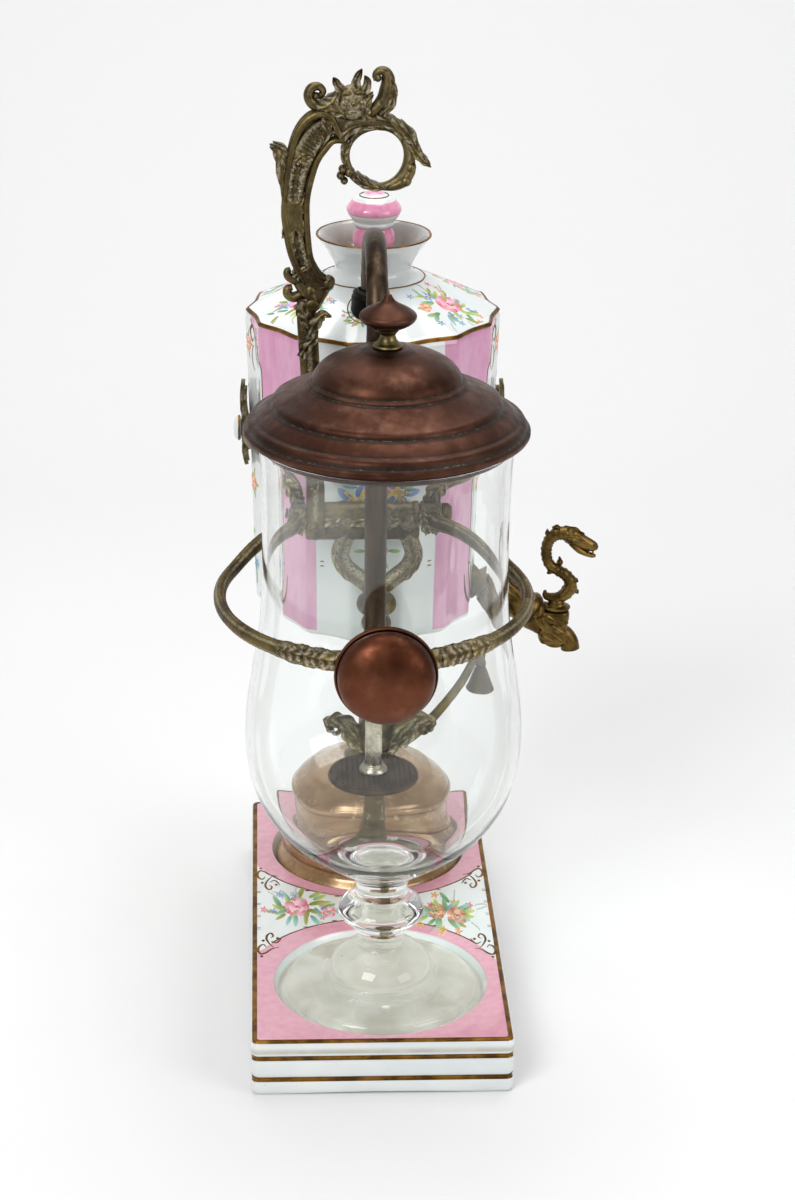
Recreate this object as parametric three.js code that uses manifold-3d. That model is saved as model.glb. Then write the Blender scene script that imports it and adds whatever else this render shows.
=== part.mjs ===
// A balance siphon: an antique vacuum coffee maker of porcelain, bronze, copper and glass.
// Millimetres, +Z up. The origin is the centre of the column on the plinth's underside.
// -Y is the side of the glass vessel, +Y the side of the boiler.
import * as THREE from "three";
import { mergeVertices } from "three/addons/utils/BufferGeometryUtils.js";
import Module from "manifold-3d";

const wasm = await Module();
wasm.setup();

// Clearance between touching pieces, and between turning ones
const fit = 0.3;

// Plinth
const plinthWidth = 125;
const plinthFront = 131;
const plinthRear = 127;
const plinthHeight = 28.8;
const plinthCorner = 5;
const reedSplits = [0, 8.5, 20, plinthHeight];
const reedDepth = 2;
const wellOffset = 71;
const wellClearance = 3;
const wellDepth = 5.5;
const archRise = 1.5;
const archDepth = 7;

// Column and its fixing
const stemRadius = 5.2;
const studRadius = 4.8;
const columnFootRadius = 11;
const nutFace = 1;
const nutHeight = 5.6;
const nutRadius = 12;
const washerThickness = 1.2;
const stemTop = 185;
const spigotLength = 9;
const spigotRadius = 3.6;

// Head, axle and knuckles
const axleHeight = 246.5;
const axleRadius = 2.5;
const barrelRadius = 5.4;
const headLeft = 37;
const headRight = 21.2;
const lowerBarDrop = 8.8;
const lowerBarRadius = 4.4;
const heartWidth = 18.4;
const heartDrop = 38;
const knuckleRadius = 5.6;
const leftKnuckleWidth = 8.4;
const rightKnuckleWidth = 10.8;

// Lever ring and counterweight
const ringShift = -4;
const ringRadius = 71.5;
const ringDrop = 14.5;
const ringHeight = axleHeight - ringDrop;
const ringSlope = 0.05;
const ringRise = 9;
const ringThickness = 5.5;
const ringTall = 7.5;
const weightRadius = 23;
const weightDepth = 20.5;
const weightWall = 1.1;

// Boiler
const boilerRadius = 63.4;
const boilerTaper = 4.6;
const boilerBottom = 172;
const boilerShoulder = 328;
const boilerWall = 3.6;
const boilerPanels = 14;
const fluteSink = 1.1;
const neckRadius = 26.5;
const neckBore = 10.5;
const funnelHeight = 38.5;
const funnelRadius = 28.2;
const trunnionHeight = 266;
const trunnionRadius = 3.9;
const armGap = 1.2;

// Stopper
const stopperRadius = 13.75;
const stopperTop = 388.4;

// Siphon pipe and strainer
const pipeRadius = 5.2;
const pipeBore = 4.45;
const pipeX = -2.5;
const pipeRear = 33;
const pipeFront = -46;
const pipeArchStart = 346;
const pipeArchRise = 37.2;
const pipeInBoiler = 184;
const pipeFrontEnd = 186;
const ferruleRadius = 9.6;
const ferruleTop = 349.4;
const tipRadius = 4.15;
const strainerRadius = 22;
const strainerHeight = 129;

// Glass vessel and lid
const glassShift = 1;
const glassOffset = 72.5;
const glassRadius = 65.2;
const glassMouth = 58.2;
const glassFootRadius = 47;
const glassRim = 309;
const glassWall = 2.2;
const lidRadius = 64.6;
const lidStand = 3.4;
const lidRim = glassRim + lidStand;
const lidWall = 1;
const lidNotchGap = 2;
const knobRadius = 12.9;
const knobRise = 64.6;
const knobTop = lidRim + knobRise;

// Lamp and snuffer
const lampFootRadius = 49;
const lampRadius = 46;
const lampTop = 80.5;
const lampWall = 3.5;
const lampMouth = 12;
const burnerRadius = 6.2;
const burnerTop = 131;
const wickRadius = 4.6;
const wickTop = 134.5;
const bracketHeight = 121;
const snufferReach = wellOffset;
const snufferParked = 32.3;
const capClearance = 2.4;
const capHeight = 13.1;
const snufferRise = wickTop + capClearance + capHeight + 6;

// Carrying handle
const handleY = -6;
const handleX = -31.7;
const handleJoint = 362;
const fingerHole = 12.2;
const fingerRingTube = 2.4;
const fingerRingX = -1.7;
const fingerRingZ = 423.7;

// Tap
const tapHeight = 187.5;
const tapReach = 33;
const tapFall = 37;
const tapTurn = -14;
const tapBarrelRadius = 8.2;
const plugX = 95.6;
const plugY = 60;
const plugZ = 162;
const plugRadius = 5;

// Materials
function finish(color, roughness, metalness, extra = {}) {
  return new THREE.MeshStandardMaterial({ color, roughness, metalness, ...extra });
}
const porcelain = finish("#f1f1ee", 0.15, 0);
const bronze = finish("#7a6543", 0.5, 0.9);
const copper = finish("#74432f", 0.35, 0.9);
const brass = finish("#b08d4a", 0.35, 0.9);
const giltBrass = finish("#a07c3c", 0.3, 0.9);
const lustre = finish("#b98a4e", 0.25, 0.4);
const tinned = finish("#b9b5aa", 0.25, 0.9);
const lead = finish("#5c5f63", 0.6, 0.6);
const glass = finish("#dfe8e6", 0.03, 0, { transparent: true, opacity: 0.3 });
const cork = finish("#9c6b43", 0.9, 0);
const cotton = finish("#e6dfcd", 0.95, 0);

// Solids

// A closed geometry as a solid, its faces turned outwards.
function solid(geometry) {
  const bare = geometry.index ? geometry.toNonIndexed() : geometry.clone();
  bare.deleteAttribute("normal");
  bare.deleteAttribute("uv");
  const merged = mergeVertices(bare, 1e-4);
  const corners = [];
  for (let i = 0; i < merged.index.count; i += 3) {
    const [a, b, c] = [0, 1, 2].map((k) => merged.index.getX(i + k));
    if (a !== b && b !== c && c !== a) corners.push(a, b, c);
  }
  const make = (triVerts) =>
    new wasm.Manifold(
      new wasm.Mesh({
        numProp: 3,
        vertProperties: merged.attributes.position.array,
        triVerts: new Uint32Array(triVerts),
      }),
    );
  const made = make(corners);
  return made.volume() > 0 ? made : make(corners.reverse());
}

function join(pieces) {
  return pieces.reduce((whole, piece) => whole.add(piece));
}

function cut(body, tools) {
  return tools.reduce((rest, tool) => rest.subtract(tool), body);
}

// A mesh of a solid, in the frame in which the solid was made.
function mesh(name, body, material) {
  const { vertProperties, triVerts } = body.getMesh();
  const geometry = new THREE.BufferGeometry();
  geometry.setAttribute("position", new THREE.BufferAttribute(vertProperties, 3));
  geometry.setIndex(new THREE.BufferAttribute(triVerts, 1));
  const flat = geometry.toNonIndexed();
  flat.computeVertexNormals();
  const made = new THREE.Mesh(flat, material);
  made.name = name;
  return made;
}

function moved(body, x, y, z) {
  return body.translate([x, y, z]);
}

const mirrored = (body) => body.mirror([1, 0, 0]);

// A solid of revolution about Z from [radius, height] points that start and end on the axis.
function turned(profile, sides = 24) {
  const points = profile.map(([r, z]) => new THREE.Vector2(r, z));
  const lathe = new THREE.LatheGeometry(points, sides);
  lathe.rotateX(Math.PI / 2);
  return solid(lathe);
}

// A solid of revolution about a line from one point, along a direction.
function turnedAlong(profile, from, direction, sides = 20) {
  const turn = new THREE.Quaternion().setFromUnitVectors(
    new THREE.Vector3(0, 0, 1),
    direction.clone().normalize(),
  );
  const place = new THREE.Matrix4().compose(from, turn, new THREE.Vector3(1, 1, 1));
  return turned(profile, sides).transform(place.elements);
}

function rod(radius, from, to, sides = 12) {
  const along = to.clone().sub(from);
  const length = along.length();
  return turnedAlong([[0, 0], [radius, 0], [radius, length], [0, length]], from, along, sides);
}

function ball(radii, centre, sides = 10) {
  const sphere = new THREE.SphereGeometry(1, sides, Math.ceil(sides * 0.6));
  sphere.scale(...radii);
  sphere.translate(...centre);
  return solid(sphere);
}

function box(low, high) {
  const size = low.map((v, i) => high[i] - v);
  const block = new THREE.BoxGeometry(...size);
  block.translate(...low.map((v, i) => v + size[i] / 2));
  return solid(block);
}

// A closed skin through rings of points, with flat ends or joined end to end.
function loft(rings, { endless = false } = {}) {
  const count = rings[0].length;
  const positions = rings.flatMap((ring) => ring.flatMap((p) => [p.x, p.y, p.z]));
  const corners = [];
  const last = endless ? rings.length : rings.length - 1;
  for (let i = 0; i < last; i += 1) {
    for (let j = 0; j < count; j += 1) {
      const a = i * count + j;
      const b = i * count + ((j + 1) % count);
      const c = ((i + 1) % rings.length) * count + j;
      const d = ((i + 1) % rings.length) * count + ((j + 1) % count);
      corners.push(a, b, d, a, d, c);
    }
  }
  if (!endless) {
    for (const [ring, start] of [[rings[0], 0], [rings.at(-1), (rings.length - 1) * count]]) {
      const middle = ring.reduce((sum, p) => sum.clone().add(p)).clone().divideScalar(count);
      const hub = positions.length / 3;
      positions.push(middle.x, middle.y, middle.z);
      for (let j = 0; j < count; j += 1) {
        const pair = [start + j, start + ((j + 1) % count)];
        corners.push(hub, ...(start ? pair : pair.reverse()));
      }
    }
  }
  const geometry = new THREE.BufferGeometry();
  geometry.setAttribute("position", new THREE.Float32BufferAttribute(positions, 3));
  geometry.setIndex(corners);
  return solid(geometry);
}

// An oval section of half widths across and along the normal.
function oval(across, tall, sides = 8) {
  return Array.from({ length: sides }, (_, i) => {
    const angle = (2 * Math.PI * (i + 0.5)) / sides;
    return [across * Math.cos(angle), tall * Math.sin(angle)];
  });
}

// A section carried along a curve; normal stays square to the curve, near the given direction.
function swept(curve, steps, section, normal = new THREE.Vector3(0, 1, 0)) {
  const rings = [];
  for (let i = 0; i <= steps; i += 1) {
    const t = i / steps;
    const centre = curve.getPoint(t);
    const along = curve.getTangent(t);
    const side = new THREE.Vector3().crossVectors(along, normal).normalize();
    const up = new THREE.Vector3().crossVectors(side, along).normalize();
    rings.push(
      section(t).map(([a, b]) => centre.clone().addScaledVector(side, a).addScaledVector(up, b)),
    );
  }
  return loft(rings);
}

const at = (x, y, z) => new THREE.Vector3(x, y, z);
const smooth = (points) => new THREE.CatmullRomCurve3(points, false, "centripetal");

// A width that runs through values at equal steps along a sweep.
function widths(values) {
  return (t) => {
    const place = t * (values.length - 1);
    const i = Math.min(Math.floor(place), values.length - 2);
    return THREE.MathUtils.lerp(values[i], values[i + 1], place - i);
  };
}

// A flat scroll in the plane y = const: a spiral of shrinking width that ends in an eye.
function volute({ x, z, y, radius, start, turns, width, thick }) {
  const curve = new THREE.Curve();
  curve.getPoint = (t, target = new THREE.Vector3()) => {
    const angle = start + turns * 2 * Math.PI * t;
    const reach = radius * (1 - 0.68 * t);
    return target.set(x + reach * Math.cos(angle), y, z + reach * Math.sin(angle));
  };
  const slim = widths([width, width * 0.8, width * 0.6]);
  return swept(curve, 7, (t) => oval(slim(t) / 2, thick / 2, 6)).add(
    ball([width * 0.55, thick * 0.55, width * 0.55], curve.getPoint(1).toArray(), 6),
  );
}

// A leaf: a tapering sweep through points in the handle's plane.
function leaf(points, y, width, thick) {
  const curve = smooth(points.map(([x, z]) => at(x, y, z)));
  const shape = widths([width * 0.7, width, width * 0.8, width * 0.25]);
  return swept(curve, 4, (t) => oval(shape(t) / 2, (thick / 2) * (1 - 0.5 * t), 6));
}

// Plinth and column

const wellFloor = plinthHeight - wellDepth;
const glassWellRadius = glassFootRadius + wellClearance + 2;
const lampWellRadius = lampFootRadius + wellClearance - 1;

function plinthOutline(inset, z) {
  const halfWidth = plinthWidth / 2 - inset;
  const front = -plinthFront + inset;
  const rear = plinthRear - inset;
  const corners = [
    [halfWidth - plinthCorner, rear - plinthCorner, 0],
    [-halfWidth + plinthCorner, rear - plinthCorner, 1],
    [-halfWidth + plinthCorner, front + plinthCorner, 2],
    [halfWidth - plinthCorner, front + plinthCorner, 3],
  ];
  return corners.flatMap(([x, y, quarter]) =>
    [0, 1 / 3, 2 / 3, 1].map((step) => {
      const angle = ((quarter + step) * Math.PI) / 2;
      return at(x + plinthCorner * Math.cos(angle), y + plinthCorner * Math.sin(angle), z);
    }),
  );
}

function plinth() {
  const rings = [];
  for (let reed = 0; reed < reedSplits.length - 1; reed += 1) {
    const [low, high] = [reedSplits[reed], reedSplits[reed + 1]];
    for (const t of reed ? [0.12, 0.5, 0.88, 1] : [0, 0.12, 0.5, 0.88, 1]) {
      const bulge = Math.sqrt(1 - (2 * t - 1) ** 2);
      rings.push(plinthOutline(reedDepth * (1 - bulge), THREE.MathUtils.lerp(low, high, t)));
    }
  }
  const well = (radius) =>
    turned(
      [[0, wellFloor], [radius - 1.5, wellFloor], [radius, plinthHeight + 1], [0, plinthHeight + 1]],
      32,
    );
  const pocket = turned([
    [0, -1],
    [nutRadius + 2.5, -1],
    [nutRadius + 2.5, pocketRoof],
    [studRadius + fit, pocketRoof],
    [studRadius + fit, plinthHeight + 1],
    [0, plinthHeight + 1],
  ]);
  return cut(loft(rings), [
    moved(well(glassWellRadius), glassShift, -glassOffset, 0),
    moved(well(lampWellRadius), 0, wellOffset, 0),
    pocket,
    ...plinthArches(),
  ]);
}

// The lower edge rises a little between the corners, on each of the four sides.
function plinthArches() {
  const arch = (length) => {
    const half = length / 2 - 2 * plinthCorner;
    const shape = new THREE.Shape();
    shape.moveTo(-half, -1);
    shape.lineTo(half, -1);
    shape.lineTo(half, 0);
    shape.quadraticCurveTo(0, 2 * archRise, -half, 0);
    const cutter = new THREE.ExtrudeGeometry(shape, {
      depth: archDepth,
      bevelEnabled: false,
      curveSegments: 8,
    });
    cutter.rotateX(Math.PI / 2);
    return solid(cutter);
  };
  const long = plinthFront + plinthRear;
  const middle = (plinthRear - plinthFront) / 2;
  const across = arch(plinthWidth);
  const along = arch(long).rotate([0, 0, 90]);
  return [
    moved(across, 0, -plinthFront + archDepth - 1, 0),
    moved(across, 0, plinthRear + 1, 0),
    moved(along, plinthWidth / 2 - archDepth + 1, middle, 0),
    moved(along, -plinthWidth / 2 - 1, middle, 0),
  ];
}

const washerFace = nutFace + nutHeight + fit;
const pocketRoof = washerFace + washerThickness + fit;
const studEnd = nutFace + 2.2;

function stem() {
  const seat = plinthHeight + fit;
  return turned([
    [0, studEnd],
    [studRadius, studEnd],
    [studRadius, seat],
    [columnFootRadius, seat],
    [columnFootRadius, seat + 2.4],
    [columnFootRadius - 1.6, seat + 3.6],
    [stemRadius + 2.2, seat + 6],
    [stemRadius + 0.7, seat + 14],
    [stemRadius, bracketHeight - 12],
    [stemRadius + 2.4, bracketHeight - 9],
    [stemRadius + 2.4, bracketHeight - 7],
    [stemRadius, bracketHeight - 6.6],
    [stemRadius, stemTop - 6],
    [stemRadius + 1.6, stemTop - 3],
    [stemRadius + 1.2, stemTop],
    [spigotRadius, stemTop],
    [spigotRadius, stemTop + spigotLength],
    [0, stemTop + spigotLength],
  ], 16);
}

function nut() {
  const bore = studEnd - fit;
  const hexagon = turned(
    [[0, nutFace], [nutRadius, nutFace], [nutRadius, nutFace + nutHeight], [0, nutFace + nutHeight]],
    6,
  );
  return hexagon.subtract(rod(studRadius + fit, at(0, 0, bore), at(0, 0, nutFace + nutHeight + 1)));
}

function washer() {
  const top = washerFace + washerThickness;
  const inner = studRadius + fit;
  return turned(
    [
      [inner, washerFace],
      [nutRadius + 1, washerFace],
      [nutRadius + 1, top],
      [inner, top],
      [inner, washerFace],
    ],
    16,
  );
}

// Head: two beads, a heart-shaped fork, the lower bar and the barrel of the axle

function head() {
  const foot = stemTop + fit;
  const beads = turned([
    [0, foot],
    [6.2, foot],
    [7.7, foot + 3],
    [7.5, foot + 6],
    [5.4, foot + 8.4],
    [9.2, foot + 10.5],
    [10.3, foot + 13.5],
    [9.2, foot + 17],
    [5.5, foot + 20],
    [5.5, foot + 23],
    [0, foot + 24],
  ], 16);
  const barZ = axleHeight - lowerBarDrop;
  const heartFoot = axleHeight - heartDrop;
  const tine = swept(
    smooth([
      at(0, 0, heartFoot - 3),
      at(heartWidth * 0.45, 0, heartFoot + 4),
      at(heartWidth, 0, heartFoot + 14),
      at(heartWidth * 0.97, 0, heartFoot + 21),
      at(heartWidth * 0.84, 0, barZ + 1),
    ]),
    8,
    (t) => oval(3 + 0.8 * Math.sin(Math.PI * t), 4, 6),
  );
  const bar = rod(lowerBarRadius, at(-headLeft, 0, barZ), at(headRight, 0, barZ), 12);
  const barrel = rod(barrelRadius, at(-headLeft, 0, axleHeight), at(headRight, 0, axleHeight), 16);
  const web = box([-headLeft + 1, -3, barZ], [headRight - 1, 3, axleHeight]);
  const lumps = [-14, 4, 15].map((x) => ball([5, 5.6, 4.4], [x, 0, barZ + 1], 6));
  const whole = join([beads, tine, mirrored(tine), bar, barrel, web, ...lumps]);
  return cut(whole, [
    rod(axleRadius + fit, at(-headLeft - 1, 0, axleHeight), at(headRight + 1, 0, axleHeight), 16),
    rod(spigotRadius + fit, at(0, 0, foot - 1), at(0, 0, foot + spigotLength + fit), 16),
    box([-headLeft - 1, -9, barZ - 6], [handleX + 7, footBack + fit, axleHeight + 8]),
    rivetBore(handleX, handleRivetZ, footBack),
  ]);
}

// Axle with a head on the left, and its nut on the right

const leftKnuckle = -headLeft - fit - leftKnuckleWidth;
const rightKnuckle = headRight + fit + rightKnuckleWidth;

function axlePin() {
  const start = leftKnuckle - fit;
  const end = rightKnuckle + 4.5;
  return turnedAlong([
    [0, -2],
    [2.6, -2],
    [4.4, -0.6],
    [4.4, 0],
    [axleRadius, 0],
    [axleRadius, end - start],
    [0, end - start],
  ], at(start, 0, axleHeight), at(1, 0, 0), 16);
}

function axleNut() {
  const bore = rod(axleRadius + fit, at(0, 0, -1), at(0, 0, 4.4), 16);
  const dome = turned([[0, 0], [4.6, 0], [4.6, 2.6], [3.6, 4.6], [0, 5.6]], 16).subtract(bore);
  return moved(dome.rotate([0, 90, 0]), rightKnuckle + fit, 0, axleHeight);
}

// Lever ring with its knuckles, and the seat of the counterweight in front

// The ring lies nearly level and rises to the axle at its rear.
const ringZ = (y) =>
  ringHeight + (y + wellOffset) * ringSlope + ringRise * THREE.MathUtils.smoothstep(y, -45, -6);
const ringFront = -wellOffset - ringRadius - ringThickness / 2;
const seatFace = ringFront - 1.6;
const seatBack = ringFront + ringThickness + 0.6;
const weightX = ringShift + 2.3;
const weightZ = ringHeight - 5;

function leverRing() {
  const endAngle = (x) => Math.asin((x - ringShift) / ringRadius);
  const leftX = leftKnuckle + leftKnuckleWidth / 2;
  const rightX = rightKnuckle - rightKnuckleWidth / 2;
  const from = endAngle(leftX);
  const to = endAngle(rightX) - 2 * Math.PI;
  const loop = new THREE.Curve();
  loop.getPoint = (t, target = new THREE.Vector3()) => {
    const angle = THREE.MathUtils.lerp(from, to, t);
    const y = -wellOffset + ringRadius * Math.cos(angle);
    return target.set(ringShift + ringRadius * Math.sin(angle), y, ringZ(y));
  };
  const swell = (t) => {
    const leaves = Math.max(0, 1 - Math.abs(Math.abs(t - 0.5) - 0.085) / 0.055);
    const roots = Math.max(0, 1 - Math.min(t, 1 - t) / 0.06);
    return 1 + 0.35 * Math.max(leaves, roots);
  };
  const band = swept(
    loop,
    36,
    (t) => oval((ringThickness / 2) * swell(t), (ringTall / 2) * swell(t), 6),
    at(0, 0, 1),
  );
  const knuckle = (x, width) =>
    rod(knuckleRadius, at(x, 0, axleHeight), at(x + width, 0, axleHeight), 16);
  const leg = (x, t) =>
    swept(
      smooth([loop.getPoint(t), at(x, -4, axleHeight - 5), at(x, 0, axleHeight)]),
      4,
      () => oval(3.9, 3.9, 6),
    );
  const whole = join([
    band,
    knuckle(leftKnuckle, leftKnuckleWidth),
    knuckle(rightKnuckle - rightKnuckleWidth, rightKnuckleWidth),
    leg(leftX, 0.004),
    leg(rightX, 0.996),
    ...[leftX, rightX].map((x) => box([x - 4, -3.6, axleHeight], [x + 4, 4.4, armSeat])),
    rod(9, at(weightX, seatFace, weightZ), at(weightX, seatFace + 3, weightZ), 16),
    rod(5, at(weightX, seatFace, weightZ), at(weightX, seatBack, weightZ), 12),
  ]);
  return cut(whole, [
    rod(axleRadius + fit, at(-60, 0, axleHeight), at(60, 0, axleHeight), 16),
    rod(boltRadius + fit, at(weightX, seatFace - 1, weightZ), at(weightX, seatBack + 1, weightZ), 10),
    ...[leftX, rightX].map((x) => screwBore(x)),
  ]);
}

// Counterweight: a copper cup, its domed cap, the lead between and the bolt through the ring's seat

const boltRadius = 2;
const cupDepth = 7;
const weightBack = seatFace - fit;

function weightCup() {
  const r = weightRadius;
  const w = weightWall;
  const profile = [
    [boltRadius + fit, 0],
    [r - 6, 0],
    [r - 1.5, 2.4],
    [r, cupDepth - 1.4],
    [r, cupDepth],
    [r - w - 1, cupDepth],
    [r - w - 2.4, 3.2],
    [r - 7, w],
    [boltRadius + fit, w],
    [boltRadius + fit, 0],
  ];
  return turnedAlong(profile, at(weightX, weightBack, weightZ), at(0, -1, 0), 24);
}

function weightCap() {
  const r = weightRadius - 0.7;
  const w = weightWall;
  const dome = weightDepth - cupDepth;
  const arc = (radius, height, steps) =>
    Array.from({ length: steps + 1 }, (_, i) => {
      const angle = (Math.PI / 2) * (i / steps);
      return [radius * Math.cos(angle), 2 + (height - 2) * Math.sin(angle)];
    });
  const outer = [[r, 0], ...arc(r, dome, 5)];
  const inner = [...arc(r - w - 0.4, dome - w, 5).reverse(), [r - w - 0.4, 0], [r, 0]];
  const from = at(weightX, weightBack - cupDepth - fit, weightZ);
  return turnedAlong([...outer, ...inner], from, at(0, -1, 0), 24);
}

function weightCore() {
  const r = weightRadius;
  const w = weightWall + fit;
  const profile = [
    [0, w],
    [r - 7.4, w],
    [r - w - 2.8, 3.6],
    [r - w - 1.6, cupDepth],
    [r - w - 1.9, cupDepth + 2.4],
    [r - w - 4.6, cupDepth + 5.8],
    [r - w - 11, weightDepth - w - 1.6],
    [0, weightDepth - w - 0.4],
  ];
  const core = turnedAlong(profile, at(weightX, weightBack, weightZ), at(0, -1, 0), 16);
  return core.subtract(
    rod(boltRadius + fit, at(weightX, weightBack, weightZ), at(weightX, weightBack - 12.4, weightZ), 12),
  );
}

function weightBolt() {
  const headThick = 1.4;
  const length = headThick + fit + seatBack - seatFace + 12;
  return turnedAlong([
    [0, 0],
    [3.6, 0],
    [3.6, headThick],
    [boltRadius, headThick],
    [boltRadius, length],
    [0, length],
  ], at(weightX, seatBack + fit + headThick, weightZ), at(0, -1, 0), 12);
}

// Arms from the knuckles round the boiler to its trunnions, with leaf ends

const armSeat = axleHeight + knuckleRadius + 0.3;
const wallAt = (z) =>
  boilerRadius - (boilerTaper * (boilerShoulder - z)) / (boilerShoulder - boilerBottom);
const armInside = wallAt(trunnionHeight) + armGap;
const armThick = 3.2;

function boilerArm(x, side) {
  const radius = armInside + armThick / 2;
  const round = (degrees, z) => {
    const angle = THREE.MathUtils.degToRad(degrees);
    return at(side * radius * Math.sin(angle), wellOffset - radius * Math.cos(angle), z);
  };
  const root = at(x, 0.4, armSeat + fit);
  const path = smooth([
    root,
    at(x + side * 1.5, 1.5, armSeat + 6),
    at(side * 48, 8, trunnionHeight + 1),
    round(52, trunnionHeight + 2),
    round(66, trunnionHeight),
    round(80, trunnionHeight),
    round(90, trunnionHeight),
  ]);
  const across = widths([4, 4, 3.4, 1.9, 1.6, 1.6, 1.6]);
  const tall = widths([4, 4.2, 4.4, 4.4, 4.2, 4, 3.6]);
  const arm = swept(path, 20, (t) => oval(across(t), tall(t), 6), at(0, 0, 1));
  const foot = box([x - 3.8, -3.4, armSeat + fit], [x + 3.8, 4.2, armSeat + 4]);
  const plate = rod(
    8,
    at(side * armInside, wellOffset, trunnionHeight),
    at(side * (armInside + armThick), wellOffset, trunnionHeight),
    16,
  );
  const ends = [
    [[[0, 6], [-2.4, 14], [1.6, 20], [4, 26]], 8],
    [[[0, 6], [4, 12], [7, 15], [10, 14]], 5],
    [[[0, -6], [2.6, -11], [0, -17], [-3, -20]], 8],
    [[[0, -6], [-4, -9], [-7, -10], [-9, -8]], 5],
  ].map(([points, width]) => {
    const line = smooth(points.map(([y, z]) => at(side * radius, wellOffset + y, trunnionHeight + z)));
    const slim = widths([width * 0.8, width, width * 0.7, width * 0.3]);
    return swept(line, 4, (t) => oval(slim(t) / 2, armThick / 2, 6), at(1, 0, 0));
  });
  const hole = rod(
    trunnionRadius + fit,
    at(side * 55, wellOffset, trunnionHeight),
    at(side * 75, wellOffset, trunnionHeight),
    16,
  );
  return cut(join([arm, foot, plate, ...ends]), [
    hole,
    box([x - 12, -12, armSeat - 12], [x + 12, 12, armSeat + fit]),
    rod(1.6 + fit, at(x, 0.4, armSeat - 1), at(x, 0.4, armSeat + 4.4), 10),
    boilerClearance(),
  ]);
}

// The space that the boiler needs inside the arms.
function boilerClearance() {
  const r = wallAt(boilerShoulder) + 0.4;
  const low = wallAt(200) + armGap - 0.2;
  return moved(
    turned([[0, 200], [low, 200], [r + armGap - 0.2, boilerShoulder], [0, boilerShoulder]], 42),
    0,
    wellOffset,
    0,
  );
}

function screwBore(x) {
  return rod(1.6 + fit, at(x, 0.4, axleHeight + axleRadius + 1.2), at(x, 0.4, armSeat + 10), 10);
}

function armScrew(x) {
  return moved(
    turned(
      [
        [0, axleHeight + axleRadius + 1.5],
        [1.6, axleHeight + axleRadius + 1.5],
        [1.6, armSeat + 4.1],
        [0, armSeat + 4.1],
      ],
      10,
    ),
    x,
    0.4,
    0,
  );
}

// Carrying handle: a stem riveted to the head, and a scroll with the finger ring

const footThick = 4.8;
const footBack = handleY + footThick / 2;
const handleRivetZ = axleHeight - lowerBarDrop + 1.5;

function rivetBore(x, z, back) {
  return rod(1.5 + fit, at(x, back - 12, z), at(x, back + 3.4, z), 10);
}

function rivet(x, z, front, length) {
  return turnedAlong([
    [0, 0],
    [1.8, 0.3],
    [3, 1.4],
    [3, 1.8],
    [1.5, 1.8],
    [1.5, length],
    [0, length],
  ], at(x, front - 1.8 - fit, z), at(0, 1, 0), 10);
}

function handleStem() {
  const foot = axleHeight - 6;
  const y = handleY;
  const bar = swept(
    smooth([
      at(handleX, y, foot),
      at(handleX, y, foot + 50),
      at(handleX - 0.8, y, 330),
      at(handleX - 1.5, y, 346),
      at(handleX, y, handleJoint - 5),
    ]),
    13,
    (t) => oval(4.8 + 1.4 * Math.max(0, Math.sin(Math.PI * (2.2 * t - 1.1))) ** 2, 2.5 + t),
  );
  const end = rod(5.1, at(handleX, y - footThick / 2, foot), at(handleX, y + footThick / 2, foot), 14);
  const leaves = [
    leaf([[handleX + 2, 333], [handleX + 6, 339], [handleX + 9, 345], [handleX + 12, 347]], y, 5, 6),
    leaf([[handleX - 2, 348], [handleX - 6, 353], [handleX - 11, 356], [handleX - 14, 353]], y, 6, 6),
    leaf([[handleX - 2, 300], [handleX - 5, 309], [handleX - 7, 318], [handleX - 6, 326]], y, 5, 5),
  ];
  const body = join([bar, end, ...leaves]);
  return cut(body, [
    box([handleX - 20, y - 10, lapZ - 6], [handleX + 20, y + fit / 2, handleJoint + 20]),
    rod(1.5 + fit, at(handleX, y - 10, handleRivetZ), at(handleX, y + 10, handleRivetZ), 10),
    rod(1.5 + fit, at(handleX, y - 10, lapZ), at(handleX, y + 10, lapZ), 10),
  ]);
}

const lapZ = handleJoint - 9;

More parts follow.
